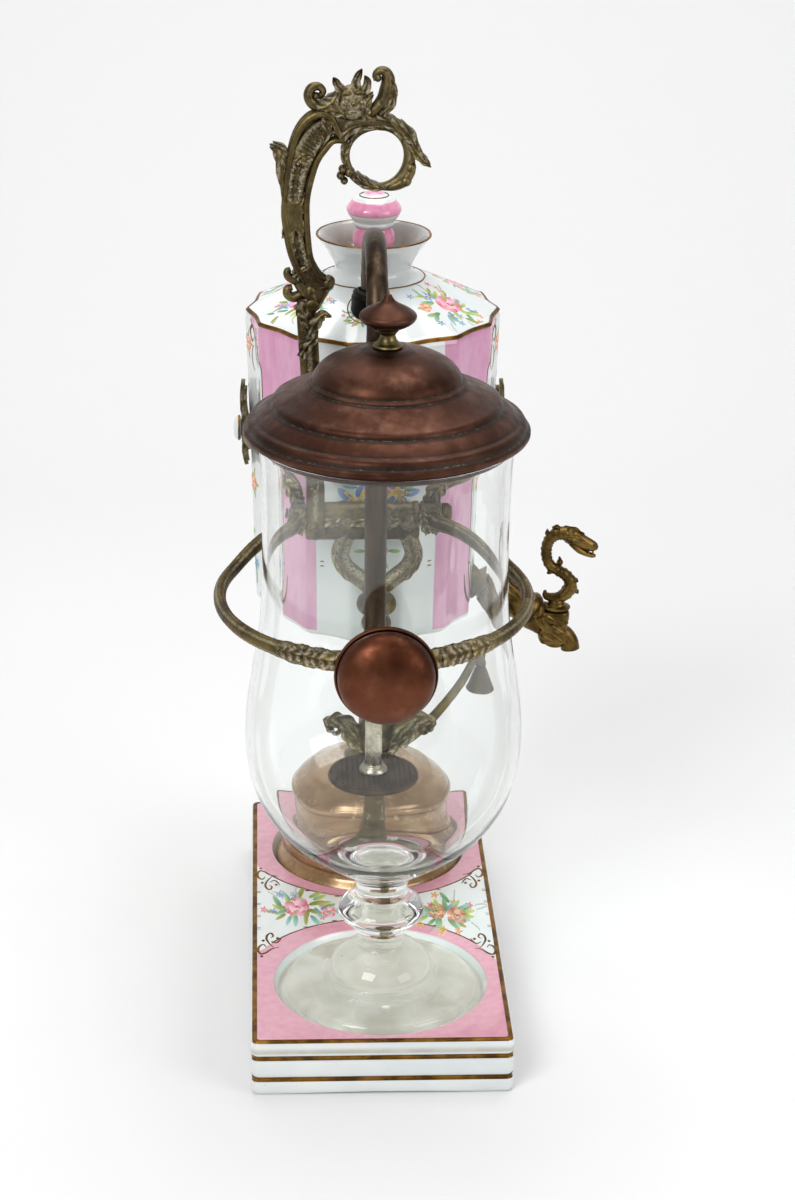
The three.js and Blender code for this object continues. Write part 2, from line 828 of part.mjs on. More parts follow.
function handleScroll() {
  const y = handleY;
  const scroll = swept(
    smooth([
      [handleX + 1, lapZ - 5.4],
      [handleX + 0.4, handleJoint],
      [-37.7, 377.1],
      [-40, 394],
      [-39.5, 411],
      [-35.1, 425.7],
      [-31, 432.6],
      [-26, 437.4],
      [-19, 438.6],
      [-11, fingerRingZ + 13],
    ].map(([x, z]) => at(x, y, z))),
    15,
    (t) =>
      oval(
        widths([3.6, 4.4, 5, 5.6, 6, 6, 6, 5.6, 4.6, 3.4])(t),
        widths([2.6, 3.4, 4, 4, 4, 4, 4, 4, 3.6, 3])(t),
      ),
  );
  const ring = solid(
    new THREE.TorusGeometry(fingerHole + fingerRingTube, fingerRingTube, 6, 24)
      .rotateX(Math.PI / 2)
      .translate(fingerRingX, y, fingerRingZ),
  );
  const topZ = fingerRingZ + fingerHole + 2 * fingerRingTube;
  const ornaments = [
    volute({ x: -29.6, z: 451.4, y, radius: 4.2, start: -1.2, turns: -0.8, width: 4, thick: 6 }),
    leaf([[-22, 438], [-25.6, 443.4], [-30.6, 446.4], [-33.4, 451.4]], y, 6, 6),
    leaf([[-9, topZ - 3.4], [-2.6, topZ + 4], [3, topZ + 11], [3.4, 461]], y, 7, 6.4),
    volute({ x: -0.2, z: 460.6, y, radius: 3.8, start: 0.4, turns: 0.8, width: 4, thick: 6 }),
    leaf([[10.6, 433], [14.4, 429], [17.4, 423.6], [22.2, 419]], y, 6, 5),
    leaf([[-13.6, 417], [-16, 414.4], [-18, 415], [-20, 412.6]], y, 6, 6),
    leaf([[-41.5, 400], [-44, 411.5], [-46.5, 421.5], [-51, 427.6]], y, 7, 6),
    leaf(
      [
        [handleX + 1, handleJoint - 2],
        [-26, handleJoint - 4],
        [-23, handleJoint - 1],
        [-22, handleJoint + 2],
      ],
      y,
      6,
      6,
    ),
    leaf(
      [
        [handleX - 3, handleJoint + 1],
        [-39, handleJoint + 4],
        [-42, handleJoint + 6],
        [-43.5, handleJoint + 4],
      ],
      y,
      5,
      5,
    ),
    ball([5, 3.6, 5], [-14.5, y, topZ + 1], 8),
    ...maskHead(-14, topZ + 8, y),
  ];
  const body = join([scroll, ring, ...ornaments]);
  return cut(body, [
    box([handleX - 20, y - fit / 2, lapZ - 12], [handleX + 9, y + 12, handleJoint - 4]),
    rod(1.5 + fit, at(handleX, y - 10, lapZ), at(handleX, y + 10, lapZ), 10),
  ]);
}

// A small beast's head between the scrolls: skull, muzzle and two pointed ears.
function maskHead(x, z, y) {
  const ear = (dx, dz, lean) => {
    const cone = new THREE.ConeGeometry(2.3, 10, 6);
    cone.scale(1, 1, 0.8);
    cone.rotateY(Math.PI / 2);
    cone.rotateZ(lean);
    cone.translate(dx, 0, dz);
    return solid(cone.rotateX(0)).rotate([90, 0, 0]);
  };
  return [
    ball([7.4, 5, 5.6], [x, y, z], 10),
    ball([4, 4, 3.2], [x + 5, y - 1.5, z - 3], 8),
    moved(ear(0, 0, 0.5), x - 5.4, y, z + 7),
    moved(ear(0, 0, -0.35), x + 4, y, z + 7.6),
  ];
}

// Leaf bracket and snuffer on the column

function leafBracket() {
  const low = bracketHeight;
  const collar = turned([
    [stemRadius + fit, low],
    [8.6, low],
    [9.4, low + 3],
    [7.6, low + 8],
    [8.4, low + 12],
    [7, low + 15],
    [stemRadius + fit, low + 15],
    [stemRadius + fit, low],
  ], 16);
  const wing = (reach) =>
    swept(
      smooth([
        at(7, 0, low + 3),
        at(reach * 0.42, 0, low + 9),
        at(reach * 0.72, 0, low + 15),
        at(reach * 0.95, 0, low + 15.5),
        at(reach, 0, low + 11.5),
      ]),
      7,
      (t) => oval(widths([3.4, 4.2, 4.4, 3.4, 2])(t), widths([3.4, 4.6, 5, 4.4, 3])(t), 6),
    );
  const lower = (reach) =>
    swept(
      smooth([
        at(7, 0, low + 2),
        at(reach * 0.4, 0, low + 3),
        at(reach * 0.62, 0, low + 7),
        at(reach * 0.7, 0, low + 12),
      ]),
      4,
      (t) => oval(2.2, widths([3.2, 4, 3])(t), 6),
    );
  const whole = join([collar, wing(29), lower(29), mirrored(wing(24)), mirrored(lower(24))]);
  return whole.subtract(rod(stemRadius + fit, at(0, 0, low - 9), at(0, 0, low + 30), 16));
}

const snufferEye = bracketHeight - fit - 6;
const capMouth = wickTop + capClearance;
const capTop = capMouth + capHeight;

// Arm and cap lie along +X here; the group turns them to where they are parked.
function snufferArm() {
  const eye = turned([
    [stemRadius + fit, snufferEye],
    [8.8, snufferEye],
    [8.8, snufferEye + 6],
    [stemRadius + fit, snufferEye + 6],
    [stemRadius + fit, snufferEye],
  ], 16);
  const arm = swept(
    smooth([
      at(7.4, 0, snufferEye + 3),
      at(20, 0, snufferEye + 5),
      at(36, 0, snufferEye + 13),
      at(54, 0, snufferRise - 14),
      at(66, 0, snufferRise - 1),
      at(snufferReach, 0, snufferRise),
    ]),
    11,
    (t) => oval(widths([3.2, 3, 2.6, 2.4, 2.6])(t), widths([2.8, 2.8, 2.4, 2.2, 2.4])(t), 6),
  );
  const boss = moved(
    turned(
      [
        [0, capTop + fit],
        [3.6, capTop + fit],
        [3.6, snufferRise + 2.4],
        [2, snufferRise + 4],
        [0, snufferRise + 4.4],
      ],
      14,
    ),
    snufferReach,
    0,
    0,
  );
  return cut(join([eye, arm, boss]), [
    moved(rod(1.4 + fit, at(0, 0, capTop - 1), at(0, 0, capTop + 5)), snufferReach, 0, 0),
  ]);
}

function snufferCap() {
  return moved(turned([
    [0, capHeight + 4.6],
    [1.4, capHeight + 4.6],
    [1.4, capHeight],
    [2.6, capHeight],
    [4, capHeight - 1.4],
    [8.4, 1.6],
    [9.2, 0],
    [8.2, 0],
    [7.4, 1.6],
    [3, capHeight - 2.4],
    [0, capHeight - 2.6],
  ], 16), snufferReach, 0, capMouth);
}

// Boiler: fourteen shallow flutes, shoulder, neck and funnel in one porcelain piece

// A ring of the fluted wall; depth 1 gives the full flute, 0 a circle.
function flutedRing(radius, z, depth) {
  const half = Math.PI / boilerPanels;
  const perPanel = 2;
  return Array.from({ length: boilerPanels * perPanel }, (_, i) => {
    const t = (i % perPanel) / perPanel;
    const angle = -half + (i / perPanel) * 2 * half;
    const chord = Math.cos(half) / Math.cos((t - 0.5) * 2 * half);
    const sink = fluteSink * (radius / boilerRadius) * Math.sin(Math.PI * t) ** 2;
    const r = radius * THREE.MathUtils.lerp(1, chord, depth) - sink * depth;
    return at(r * Math.sin(angle), -r * Math.cos(angle), z);
  });
}

const shoulderAt = (radius) =>
  boilerShoulder + 1 + ((boilerRadius - radius) / (boilerRadius - neckRadius)) * 16;
const funnelRim = boilerShoulder + funnelHeight;

function boiler() {
  const outside = [
    [wallAt(boilerBottom) - 4, boilerBottom, 1],
    [wallAt(boilerBottom), boilerBottom + 2.6, 1],
    [boilerRadius, boilerShoulder - 3, 1],
    [boilerRadius - 1.2, boilerShoulder + 0.6, 1],
    [52, shoulderAt(52), 0.8],
    [38, shoulderAt(38), 0.5],
    [neckRadius, shoulderAt(neckRadius), 0.2],
    [21.5, boilerShoulder + 18.4, 0.1],
    [19.2, boilerShoulder + 20.8, 0.1],
    [19.8, boilerShoulder + 24.5, 0.1],
    [23.4, boilerShoulder + 31, 0],
    [26.6, boilerShoulder + 35.6, 0],
    [funnelRadius, funnelRim, 0],
  ];
  const wall = boilerWall;
  const inside = [
    [funnelRadius - 1.8, funnelRim, 0],
    [20.4, boilerShoulder + 32.6, 0],
    [neckBore + 2.2, boilerShoulder + 27.4, 0],
    [neckBore, boilerShoulder + 24, 0],
    [neckBore, boilerShoulder + 14.5, 0],
    [neckRadius - 8, boilerShoulder + 11.6, 0],
    [38, shoulderAt(38) - wall, 0.5],
    [boilerRadius - 6, boilerShoulder - wall, 0.8],
    [boilerRadius - wall, boilerShoulder - 9, 1],
    [wallAt(boilerBottom) - wall, boilerBottom + 8, 1],
    [wallAt(boilerBottom) - 9, boilerBottom + 4.2, 1],
  ];
  const shell = loft([...outside, ...inside].map(([r, z, depth]) => flutedRing(r, z, depth)));
  const boss = (side) =>
    rod(
      7,
      at(side * (armInside - 6), 0, trunnionHeight),
      at(side * (armInside - 0.6), 0, trunnionHeight),
      14,
    );
  const buttonHole = (side) =>
    rod(2.4 + fit, at(side * (armInside - 4.4), 0, trunnionHeight), at(side * 75, 0, trunnionHeight), 12);
  const pipeHole = rod(
    ferruleRadius + fit,
    at(pipeX, pipeRear - wellOffset, 320),
    at(pipeX, pipeRear - wellOffset, 350),
    20,
  );
  const body = join([shell, boss(1), boss(-1)]);
  return cut(body, [buttonHole(1), buttonHole(-1), pipeHole, tapHole()]);
}

function trunnionButton(side) {
  const start = armInside - 4;
  const journal = armInside - 0.6 + fit;
  const head = armInside + armThick + fit;
  return turnedAlong([
    [0, start],
    [2.4, start],
    [2.4, journal],
    [trunnionRadius, journal],
    [trunnionRadius, head],
    [6.2, head],
    [6.4, head + 1.4],
    [5, head + 3],
    [2.4, head + 3.7],
    [0, head + 3.8],
  ], at(0, 0, trunnionHeight), at(side, 0, 0), 14);
}

// Stopper: a porcelain knob on a cork that fills the neck

const corkTop = boilerShoulder + 30.5;

function stopperKnob() {
  const foot = corkTop + fit;
  const r = stopperRadius;
  return turned([
    [0, foot],
    [9, foot],
    [10, foot + 3],
    [9, foot + 7],
    [8.6, foot + 11],
    [10, foot + 13.5],
    [12.6, foot + 15.4],
    [r, stopperTop - 9.6],
    [13.2, stopperTop - 6.6],
    [11, stopperTop - 4],
    [8, stopperTop - 2.4],
    [5.4, stopperTop - 1.8],
    [4, stopperTop - 0.4],
    [0, stopperTop],
  ], 20);
}

function stopperCork() {
  const low = boilerShoulder + 12.5;
  const narrow = neckBore - fit;
  return turned(
    [
      [0, low],
      [narrow - 1, low],
      [narrow, low + 3],
      [narrow, boilerShoulder + 24],
      [narrow, corkTop],
      [0, corkTop],
    ],
    16,
  );
}

// Siphon pipe: rear leg in the boiler, an oval arch, front leg into the glass

function pipeRing(radius, y, z, tilt) {
  return oval(radius, radius, 10).map(([a, b]) =>
    at(pipeX + a, y + b * Math.cos(tilt), z + b * Math.sin(tilt)),
  );
}

function pipeRings(radius) {
  const middle = (pipeRear + pipeFront) / 2;
  const half = (pipeRear - pipeFront) / 2;
  const steps = 12;
  const arch = Array.from({ length: steps + 1 }, (_, i) => {
    const angle = (Math.PI * i) / steps;
    const y = middle + half * Math.cos(angle);
    const z = pipeArchStart + pipeArchRise * Math.sin(angle);
    const slope = Math.atan2(half * Math.sin(angle), pipeArchRise * Math.cos(angle));
    return pipeRing(radius, y, z, slope);
  });
  return [
    pipeRing(radius, pipeRear, pipeInBoiler, 0),
    ...arch,
    pipeRing(radius, pipeFront, pipeFrontEnd, Math.PI),
  ];
}

function siphonPipe() {
  const bore = pipeRings(pipeBore);
  const beyond = (ring, dz) => ring.map((p) => p.clone().setZ(p.z + dz));
  const bored = [beyond(bore[0], -1), ...bore.slice(1, -1), beyond(bore.at(-1), -1)];
  return loft(pipeRings(pipeRadius)).subtract(loft(bored));
}

function pipeFerrule() {
  const low = 326;
  const inner = pipeRadius + fit;
  const profile = [
    [inner, low],
    [ferruleRadius, low],
    [ferruleRadius, ferruleTop - 3],
    [ferruleRadius - 0.8, ferruleTop - 2.4],
    [ferruleRadius - 0.4, ferruleTop - 1.2],
    [ferruleRadius - 1.4, ferruleTop - 0.6],
    [inner + 0.8, ferruleTop],
    [inner + 0.4, ferruleTop - 0.6],
    [inner, pipeArchStart - 2],
    [inner, low],
  ];
  return moved(turned(profile, 16), pipeX, pipeRear, 0);
}

function pipeTip() {
  const low = strainerHeight + 1.4;
  const inner = tipRadius - 0.8;
  const top = pipeFrontEnd + 16;
  const profile = [[inner, low], [tipRadius, low], [tipRadius, top], [inner, top], [inner, low]];
  return moved(turned(profile, 12), pipeX, pipeFront, 0);
}

function strainerPlate() {
  const r = strainerRadius;
  const inner = tipRadius + fit;
  const z = strainerHeight;
  const profile = [
    [inner, z],
    [r - 1, z - 1.2],
    [r, z - 2.6],
    [r + 0.2, z - 1.2],
    [r - 0.6, z - 0.1],
    [inner, z + 1.1],
    [inner, z],
  ];
  return moved(turned(profile, 24), pipeX, pipeFront, 0);
}

function strainerCollar() {
  const z = strainerHeight + 1.1 + fit;
  const inner = tipRadius + fit;
  const profile = [
    [inner, z],
    [7, z],
    [6.4, z + 1.4],
    [inner + 0.8, z + 2],
    [inner + 0.6, z + 4],
    [inner, z + 4],
    [inner, z],
  ];
  return moved(turned(profile, 12), pipeX, pipeFront, 0);
}

// Glass vessel: foot, stepped dome, knop and bowl

function glassVessel() {
  const foot = wellFloor + fit;
  const stalk = [
    [0, foot],
    [glassFootRadius - 2, foot],
    [glassFootRadius, foot + 1.6],
    [glassFootRadius - 0.6, foot + 3.6],
    [26, foot + 9.4],
    [24.6, foot + 12.6],
    [15, foot + 22.4],
    [12, foot + 27],
    [14.6, 61],
    [19.7, 66.6],
    [19.4, 71.6],
    [14.2, 78],
    [16, 86.5],
  ];
  const bowl = [
    [25.4, 95.5],
    [36.5, 103.5],
    [47.6, 113.5],
    [56.6, 126],
    [62.2, 140],
    [glassRadius, 156],
    [glassRadius - 0.3, 175],
    [62.2, 194],
    [57.4, 230],
    [56.6, 258],
    [glassMouth, glassRim],
  ];
  const inside = bowl.slice(1).map(([r, z]) => [r - glassWall, z + (z < 110 ? 2 : 0)]);
  return turned([...stalk, ...bowl, ...inside.reverse(), [22, 100.2], [0, 97.5]]);
}

// Lid: a spun copper shell with two steps, a collar inside the glass and a notch for the pipe

function lidShell() {
  const outside = [
    [lidRadius, lidRim],
    [lidRadius + 0.2, lidRim + 2.6],
    [62.6, lidRim + 6.6],
    [59.6, lidRim + 7.4],
    [51.4, lidRim + 15.6],
    [49.4, lidRim + 15.8],
    [40, lidRim + 22.2],
    [34.4, lidRim + 24.6],
    [32.4, lidRim + 28],
    [29.4, lidRim + 31.6],
    [25, lidRim + 34.8],
    [18.6, lidRim + 37.8],
    [11.5, lidRim + 39.6],
    [neckHole, lidRim + 40],
  ];
  const dome = outside.slice(4, -1).map(([r, z]) => [r - 0.4, z - lidWall]);
  const collarTop = lidRim + 10.4;
  const collarFoot = glassRim - 3;
  const seat = glassRim + fit;
  const collar = [
    [glassCollar - lidWall, collarTop + 1],
    [glassCollar - lidWall, collarFoot],
    [glassCollar, collarFoot],
    [glassCollar, seat],
    [glassMouth, seat],
    [glassMouth, seat + 1],
    [glassCollar, seat + 1],
    [glassCollar, collarTop],
    [59.2, lidRim + 6.4],
    [62, lidRim + 5.6],
    [63.6, lidRim + 2.2],
    [63.5, lidRim],
  ];
  const whole = [...outside, [neckHole, lidRim + 39], ...dome.reverse(), ...collar, outside[0]];
  return turned(whole).subtract(lidNotch());
}

const neckHole = 3.2;
const glassCollar = glassMouth - glassWall - 0.5;

// The notch runs from in front of the pipe out to the rear rim, so the lid lifts off past the
// pipe and its strainer; it leaves room for the pipe as the lever rocks.
function lidNotch() {
  const half = pipeRadius + lidNotchGap;
  const x = pipeX - glassShift;
  const front = pipeFront + glassOffset - lidNotchGap - 5.3;
  const shape = new THREE.Shape();
  shape.absarc(x, front, half, Math.PI, 2 * Math.PI, false);
  shape.lineTo(x + half, lidRadius + 4);
  shape.lineTo(x - half, lidRadius + 4);
  const cutter = new THREE.ExtrudeGeometry(shape, { depth: 60, bevelEnabled: false, curveSegments: 6 });
  return moved(solid(cutter), 0, 0, glassRim - 9);
}

function lidNeck() {
  const seat = lidRim + 40 + fit;
  return turned([
    [0, lidRim + 37],
    [neckHole - fit, lidRim + 37],
    [neckHole - fit, seat],
    [8, seat],
    [7.2, seat + 1.2],
    [4, seat + 3.4],
    [3.4, seat + 5.6],
    [5, seat + 8],
    [1.8, seat + 8],
    [1.8, seat + 12],
    [0, seat + 12],
  ], 16);
}

function lidKnob() {
  const foot = lidRim + 40 + 2 * fit + 8;
  const r = knobRadius;
  const knob = turned([
    [0, foot],
    [5.4, foot],
    [9, foot + 2],
    [r, foot + 5],
    [r - 0.2, foot + 6.4],
    [10, foot + 8.8],
    [6, foot + 11.4],
    [3.2, foot + 13.4],
    [1.4, knobTop - 1.4],
    [0, knobTop],
  ], 20);
  return knob.subtract(rod(1.8 + fit, at(0, 0, foot - 1), at(0, 0, foot + 4.2), 12));
}

// Spirit lamp: a lustred pot, its burner and the wick

function lampPot() {
  const foot = wellFloor + fit;
  const r = lampRadius;
  const outside = [
    [0, foot + 1.6],
    [r - 10, foot + 1.6],
    [r - 9, foot],
    [lampFootRadius - 1, foot],
    [lampFootRadius, foot + 2],
    [lampFootRadius - 1, foot + 4.4],
    [r - 1.4, foot + 8],
    [r, foot + 20],
    [r, foot + 33],
    [r - 1.6, foot + 40],
    [r - 5, foot + 44.2],
    [r - 12, foot + 51.4],
    [r - 22, foot + 55],
    [lampMouth + 3.4, lampTop - 1.6],
    [lampMouth + 2.6, lampTop],
    [lampMouth, lampTop],
  ];
  const w = lampWall;
  const inside = [
    [lampMouth, lampTop - 4],
    [r - 22, foot + 55 - w],
    [r - 12, foot + 51 - w],
    [r - 5 - w, foot + 41],
    [r - w, foot + 30],
    [r - w - 1, foot + 12],
    [r - w - 8, foot + 6],
    [0, foot + 5],
  ];
  return turned([...outside, ...inside]);
}

function burnerCollar() {
  const seat = lampTop + fit;
  const inner = wickRadius + fit;
  return turned([
    [inner, lampTop - 3.4],
    [lampMouth - fit, lampTop - 3.4],
    [lampMouth - fit, seat],
    [lampMouth + 2.4, seat],
    [lampMouth + 2.4, seat + 1.8],
    [9, seat + 4.4],
    [burnerRadius + 0.6, seat + 8],
    [burnerRadius, seat + 12],
    [burnerRadius, burnerTop - 2],
    [burnerRadius + 0.8, burnerTop],
    [inner, burnerTop],
    [inner, lampTop - 3.4],
  ], 16);
}

function wick() {
  const low = wellFloor + 14;
  return turned(
    [[0, low], [wickRadius, low], [wickRadius, wickTop - 1.4], [wickRadius - 1, wickTop], [0, wickTop]],
    12,
  );
}

// Tap on the boiler's right side

const tapRoot = at(wallAt(tapHeight) - 1, -3, tapHeight);
const tapDirection = at(1, 0, 0)
  .applyAxisAngle(at(0, 1, 0), THREE.MathUtils.degToRad(tapFall))
  .applyAxisAngle(at(0, 0, 1), THREE.MathUtils.degToRad(tapTurn));

function tapHole() {
  return turnedAlong([[0, -8], [5 + fit, -8], [5 + fit, 12], [0, 12]], tapRoot, tapDirection, 16);
}

function tapBarrel() {
  const r = tapBarrelRadius;
  const barrel = turnedAlong([
    [0, -4.6],
    [5, -4.6],
    [5, 2.2],
    [10.4, 5.6],
    [10.4, 7.2],
    [r - 0.6, 8.6],
    [r - 0.8, 12],
    [r, 22],
    [r + 0.6, tapReach - 5],
    [r + 1.8, tapReach - 3.6],
    [r + 1.8, tapReach - 1],
    [r, tapReach],
    [0, tapReach],
  ], tapRoot, tapDirection, 16);
  return barrel.subtract(boilerSkin());
}

// The boiler's outer wall near the tap, for the flange to seat on.
function boilerSkin() {
  const grow = 0.35;
  const ring = (z) => flutedRing(wallAt(z) + grow, z, 1);
  const wall = loft([ring(boilerBottom + 2.6), ring(230)]);
  return wall.subtract(turnedAlong([[0, -12], [5.1, -12], [5.1, 6], [0, 6]], tapRoot, tapDirection, 16));
}

const plugAt = at(plugX, plugY - wellOffset, plugZ);
const bodyLow = plugZ - 10;
const bodyHigh = plugZ + 9;

function tapBody() {
  const socketStart = tapReach + fit;
  const socket = turnedAlong(
    [
      [0, socketStart],
      [tapBarrelRadius, socketStart],
      [tapBarrelRadius + 0.6, socketStart + 8],
      [0, socketStart + 8],
    ],
    tapRoot,
    tapDirection,
    12,
  );
  const round = (profile) => moved(turned(profile, 16), plugAt.x, plugAt.y, 0);
  const barrel = round([
    [0, bodyLow + 1],
    [7.6, bodyLow + 1],
    [8.8, bodyLow + 4],
    [8.6, bodyHigh - 4],
    [9.2, bodyHigh - 2],
    [9.2, bodyHigh],
    [0, bodyHigh],
  ]);
  const mouth = at(plugAt.x + 9.6, plugAt.y - 2.4, bodyLow - 3);
  const spout = swept(
    smooth([
      plugAt.clone().setZ(plugZ - 1),
      at(plugAt.x + 7, plugAt.y - 1.8, plugZ - 3),
      mouth.clone().setZ(bodyLow + 3),
      mouth,
    ]),
    6,
    (t) => oval(widths([6, 5.6, 5, 5.2])(t), widths([6, 5.6, 5, 5.2])(t), 8),
  );
  const whole = join([socket, barrel, spout]);
  return cut(whole, [
    round([
      [0, bodyLow - 2],
      [plugRadius - 0.6 + fit, bodyLow - 2],
      [plugRadius + 0.6 + fit, bodyHigh + 1],
      [0, bodyHigh + 1],
    ]),
    round([[0, bodyHigh], [10, bodyHigh], [10, bodyHigh + 9], [0, bodyHigh + 9]]),
    round([[0, bodyLow - 9], [6, bodyLow - 9], [6, bodyLow + 1], [0, bodyLow + 1]]),
    rod(3, mouth.clone().setZ(mouth.z - 1), mouth.clone().setZ(bodyLow + 3), 12),
    turnedAlong(
      [[0, 0], [tapBarrelRadius + 3, 0], [tapBarrelRadius + 3, tapReach + fit], [0, tapReach + fit]],
      tapRoot,
      tapDirection,
      20,
    ),
  ]);
}

function tapPlug() {
  return moved(turned([
    [0, bodyLow - 2.6],
    [2.2, bodyLow - 2.6],
    [2.2, bodyLow + 1],
    [plugRadius - 0.6, bodyLow + 1],
    [plugRadius + 0.6, bodyHigh],
    [plugRadius + 0.6, bodyHigh + fit],
    [7.6, bodyHigh + fit],
    [7, bodyHigh + 2.2],
    [3.6, bodyHigh + 3.4],
    [0, bodyHigh + 3.4],
  ], 16), plugAt.x, plugAt.y, 0);
}

function tapNut() {
  const top = bodyLow + 1 - fit;
  const ring = turned(
    [[2.2 + fit, top - 2.8], [4.8, top - 2.8], [5.4, top], [2.2 + fit, top], [2.2 + fit, top - 2.8]],
    12,
  );
  return moved(ring, plugAt.x, plugAt.y, 0);
}

// A sea serpent bent in an S: coiled tail on the plug, neck and head outwards.
function tapKey() {
  const foot = bodyHigh + 3.4 + fit;
  const { x, y } = plugAt;
  const path = [
    [-5.6, 4.6],
    [-3.4, 2.4],
    [0.4, 2.2],
    [5, 4.4],
    [8.2, 8.8],
    [7.7, 13.6],
    [4, 17.4],
    [-0.8, 18.8],
    [-4.8, 21.8],
    [-6, 27],
    [-4.9, 32.4],
    [-1.4, 35.6],
    [3.6, 36.4],
    [9.3, 34.2],
    [15, 31.2],
    [20, 29.2],
  ];
  const spine = smooth(path.map(([across, up]) => at(x + across, y, foot + up)));
  const girth = widths([1.2, 2.6, 2.9, 3, 2.9, 2.8, 2.6, 2.5, 2.5, 2.4, 2.5, 2.6, 2.9, 3.2, 2.8, 1.6]);
  const body = swept(spine, 26, (t) => oval(girth(t), girth(t), 6));
  const jaws = [
    leaf(
      [[x + 11, foot + 30.5], [x + 13.5, foot + 26.8], [x + 16.4, foot + 25.7], [x + 20, foot + 24.8]],
      y,
      3,
      3.4,
    ),
  ];
  const plumes = [
    [-3, 38, 1.6, 3.6],
    [3.2, 39, 2.2, 3],
    [6.4, 38.4, 2.6, 3.4],
  ];
  const crest = plumes.map(([across, up, wide, tall]) =>
    ball([wide, 1.5, tall], [x + across, y, foot + up], 8),
  );
  const base = moved(turned([[0, foot], [4.4, foot], [3.6, foot + 3], [0, foot + 4]], 12), x, y, 0);
  const below = moved(rod(12, at(0, 0, foot - 9), at(0, 0, foot)), x, y, 0);
  return join([body, base, ...jaws, ...crest]).subtract(below);
}

// Assembly

function group(children, x = 0, y = 0, z = 0) {
  const made = new THREE.Group();
  made.position.set(x, y, z);
  made.add(...children);
  return made;
}

const leftArmX = leftKnuckle + leftKnuckleWidth / 2;
const rightArmX = rightKnuckle - rightKnuckleWidth / 2;

const stand = group([
  mesh("base_plinth", plinth(), porcelain),
  mesh("column_stem", stem(), bronze),
  mesh("column_washer", washer(), brass),
  mesh("column_nut", nut(), brass),
  mesh("column_head", head(), bronze),
  mesh("axle_pin", axlePin(), bronze),
  mesh("axle_nut", axleNut(), bronze),
  mesh("leaf_bracket", leafBracket(), bronze),
]);

const handle = group([
  mesh("handle_stem", handleStem(), bronze),
  mesh("handle_scroll", handleScroll(), bronze),
  mesh("handle_rivet", rivet(handleX, handleRivetZ, handleY - footThick / 2, 9.4), bronze),
  mesh("joint_rivet", rivet(handleX, lapZ, handleY - 3.2, 7.6), bronze),
]);

const snuffer = group([
  mesh("snuffer_arm", snufferArm(), bronze),
  mesh("snuffer_cap", snufferCap(), bronze),
]);
snuffer.rotation.z = THREE.MathUtils.degToRad(snufferParked);

const lever = group([
  mesh("lever_ring", leverRing(), bronze),
  mesh("left_boiler_arm", boilerArm(leftArmX, -1), bronze),
  mesh("right_boiler_arm", boilerArm(rightArmX, 1), bronze),
  mesh("left_arm_screw", armScrew(leftArmX), bronze),
  mesh("right_arm_screw", armScrew(rightArmX), bronze),
  mesh("counterweight_cup", weightCup(), copper),
  mesh("counterweight_cap", weightCap(), copper),
  mesh("counterweight_core", weightCore(), lead),
  mesh("counterweight_bolt", weightBolt(), bronze),
]);

const tap = [
  mesh("tap_barrel", tapBarrel(), giltBrass),
  mesh("tap_body", tapBody(), giltBrass),
  mesh("tap_plug", tapPlug(), giltBrass),
  mesh("tap_key", tapKey(), giltBrass),
  mesh("tap_nut", tapNut(), giltBrass),
];

const boilerGroup = group([
  mesh("boiler_body", boiler(), porcelain),
  mesh("left_trunnion_button", trunnionButton(-1), porcelain),
  mesh("right_trunnion_button", trunnionButton(1), porcelain),
  mesh("stopper_knob", stopperKnob(), porcelain),
  mesh("stopper_cork", stopperCork(), cork),
  ...tap,
], 0, wellOffset, 0);

const siphon = group([
  mesh("siphon_pipe", siphonPipe(), bronze),
  mesh("pipe_ferrule", pipeFerrule(), bronze),
  mesh("pipe_tip", pipeTip(), tinned),
  mesh("strainer_plate", strainerPlate(), bronze),
  mesh("strainer_collar", strainerCollar(), tinned),
]);

const vessel = group([
  mesh("glass_vessel", glassVessel(), glass),
  mesh("lid_shell", lidShell(), copper),
  mesh("lid_neck", lidNeck(), brass),
  mesh("lid_knob", lidKnob(), copper),
], glassShift, -glassOffset, 0);

const lamp = group([
  mesh("lamp_pot", lampPot(), lustre),
  mesh("burner_collar", burnerCollar(), brass),
  mesh("wick", wick(), cotton),
], 0, wellOffset, 0);

export default group([stand, handle, snuffer, lever, boilerGroup, siphon, vessel, lamp]);
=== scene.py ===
"""An antique balance siphon: porcelain, bronze, copper and glass, dressed over the CAD frame."""
import math
import random

import bmesh
import bpy
from mathutils import Matrix, Vector


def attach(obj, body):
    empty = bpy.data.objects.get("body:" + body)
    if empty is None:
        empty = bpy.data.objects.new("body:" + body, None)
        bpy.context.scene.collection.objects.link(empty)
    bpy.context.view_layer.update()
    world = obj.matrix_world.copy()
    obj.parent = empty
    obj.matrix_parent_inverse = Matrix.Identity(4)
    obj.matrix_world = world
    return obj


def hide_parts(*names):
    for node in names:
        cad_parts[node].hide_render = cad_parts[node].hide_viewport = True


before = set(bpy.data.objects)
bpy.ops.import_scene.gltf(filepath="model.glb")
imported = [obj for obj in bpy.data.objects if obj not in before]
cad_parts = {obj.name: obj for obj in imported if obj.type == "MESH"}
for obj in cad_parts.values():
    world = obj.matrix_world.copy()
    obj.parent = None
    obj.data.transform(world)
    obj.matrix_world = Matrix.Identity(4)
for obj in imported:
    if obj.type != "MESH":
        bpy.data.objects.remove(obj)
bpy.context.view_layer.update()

# Sizes in millimetres, as in the CAD
PLINTH_WIDTH = 125
PLINTH_FRONT = 131
PLINTH_REAR = 127
PLINTH_HEIGHT = 28.8
REEDS = (0, 8.5, 20, PLINTH_HEIGHT)
BOILER_Y = 71
GLASS_X, GLASS_Y = 1, -72.5
AXLE_Z = 246.5
BOILER_RADIUS = 63.4
PANELS = 14
SHOULDER = 328
WALL_TAPER, TAPER_HEIGHT = 4.6, 156
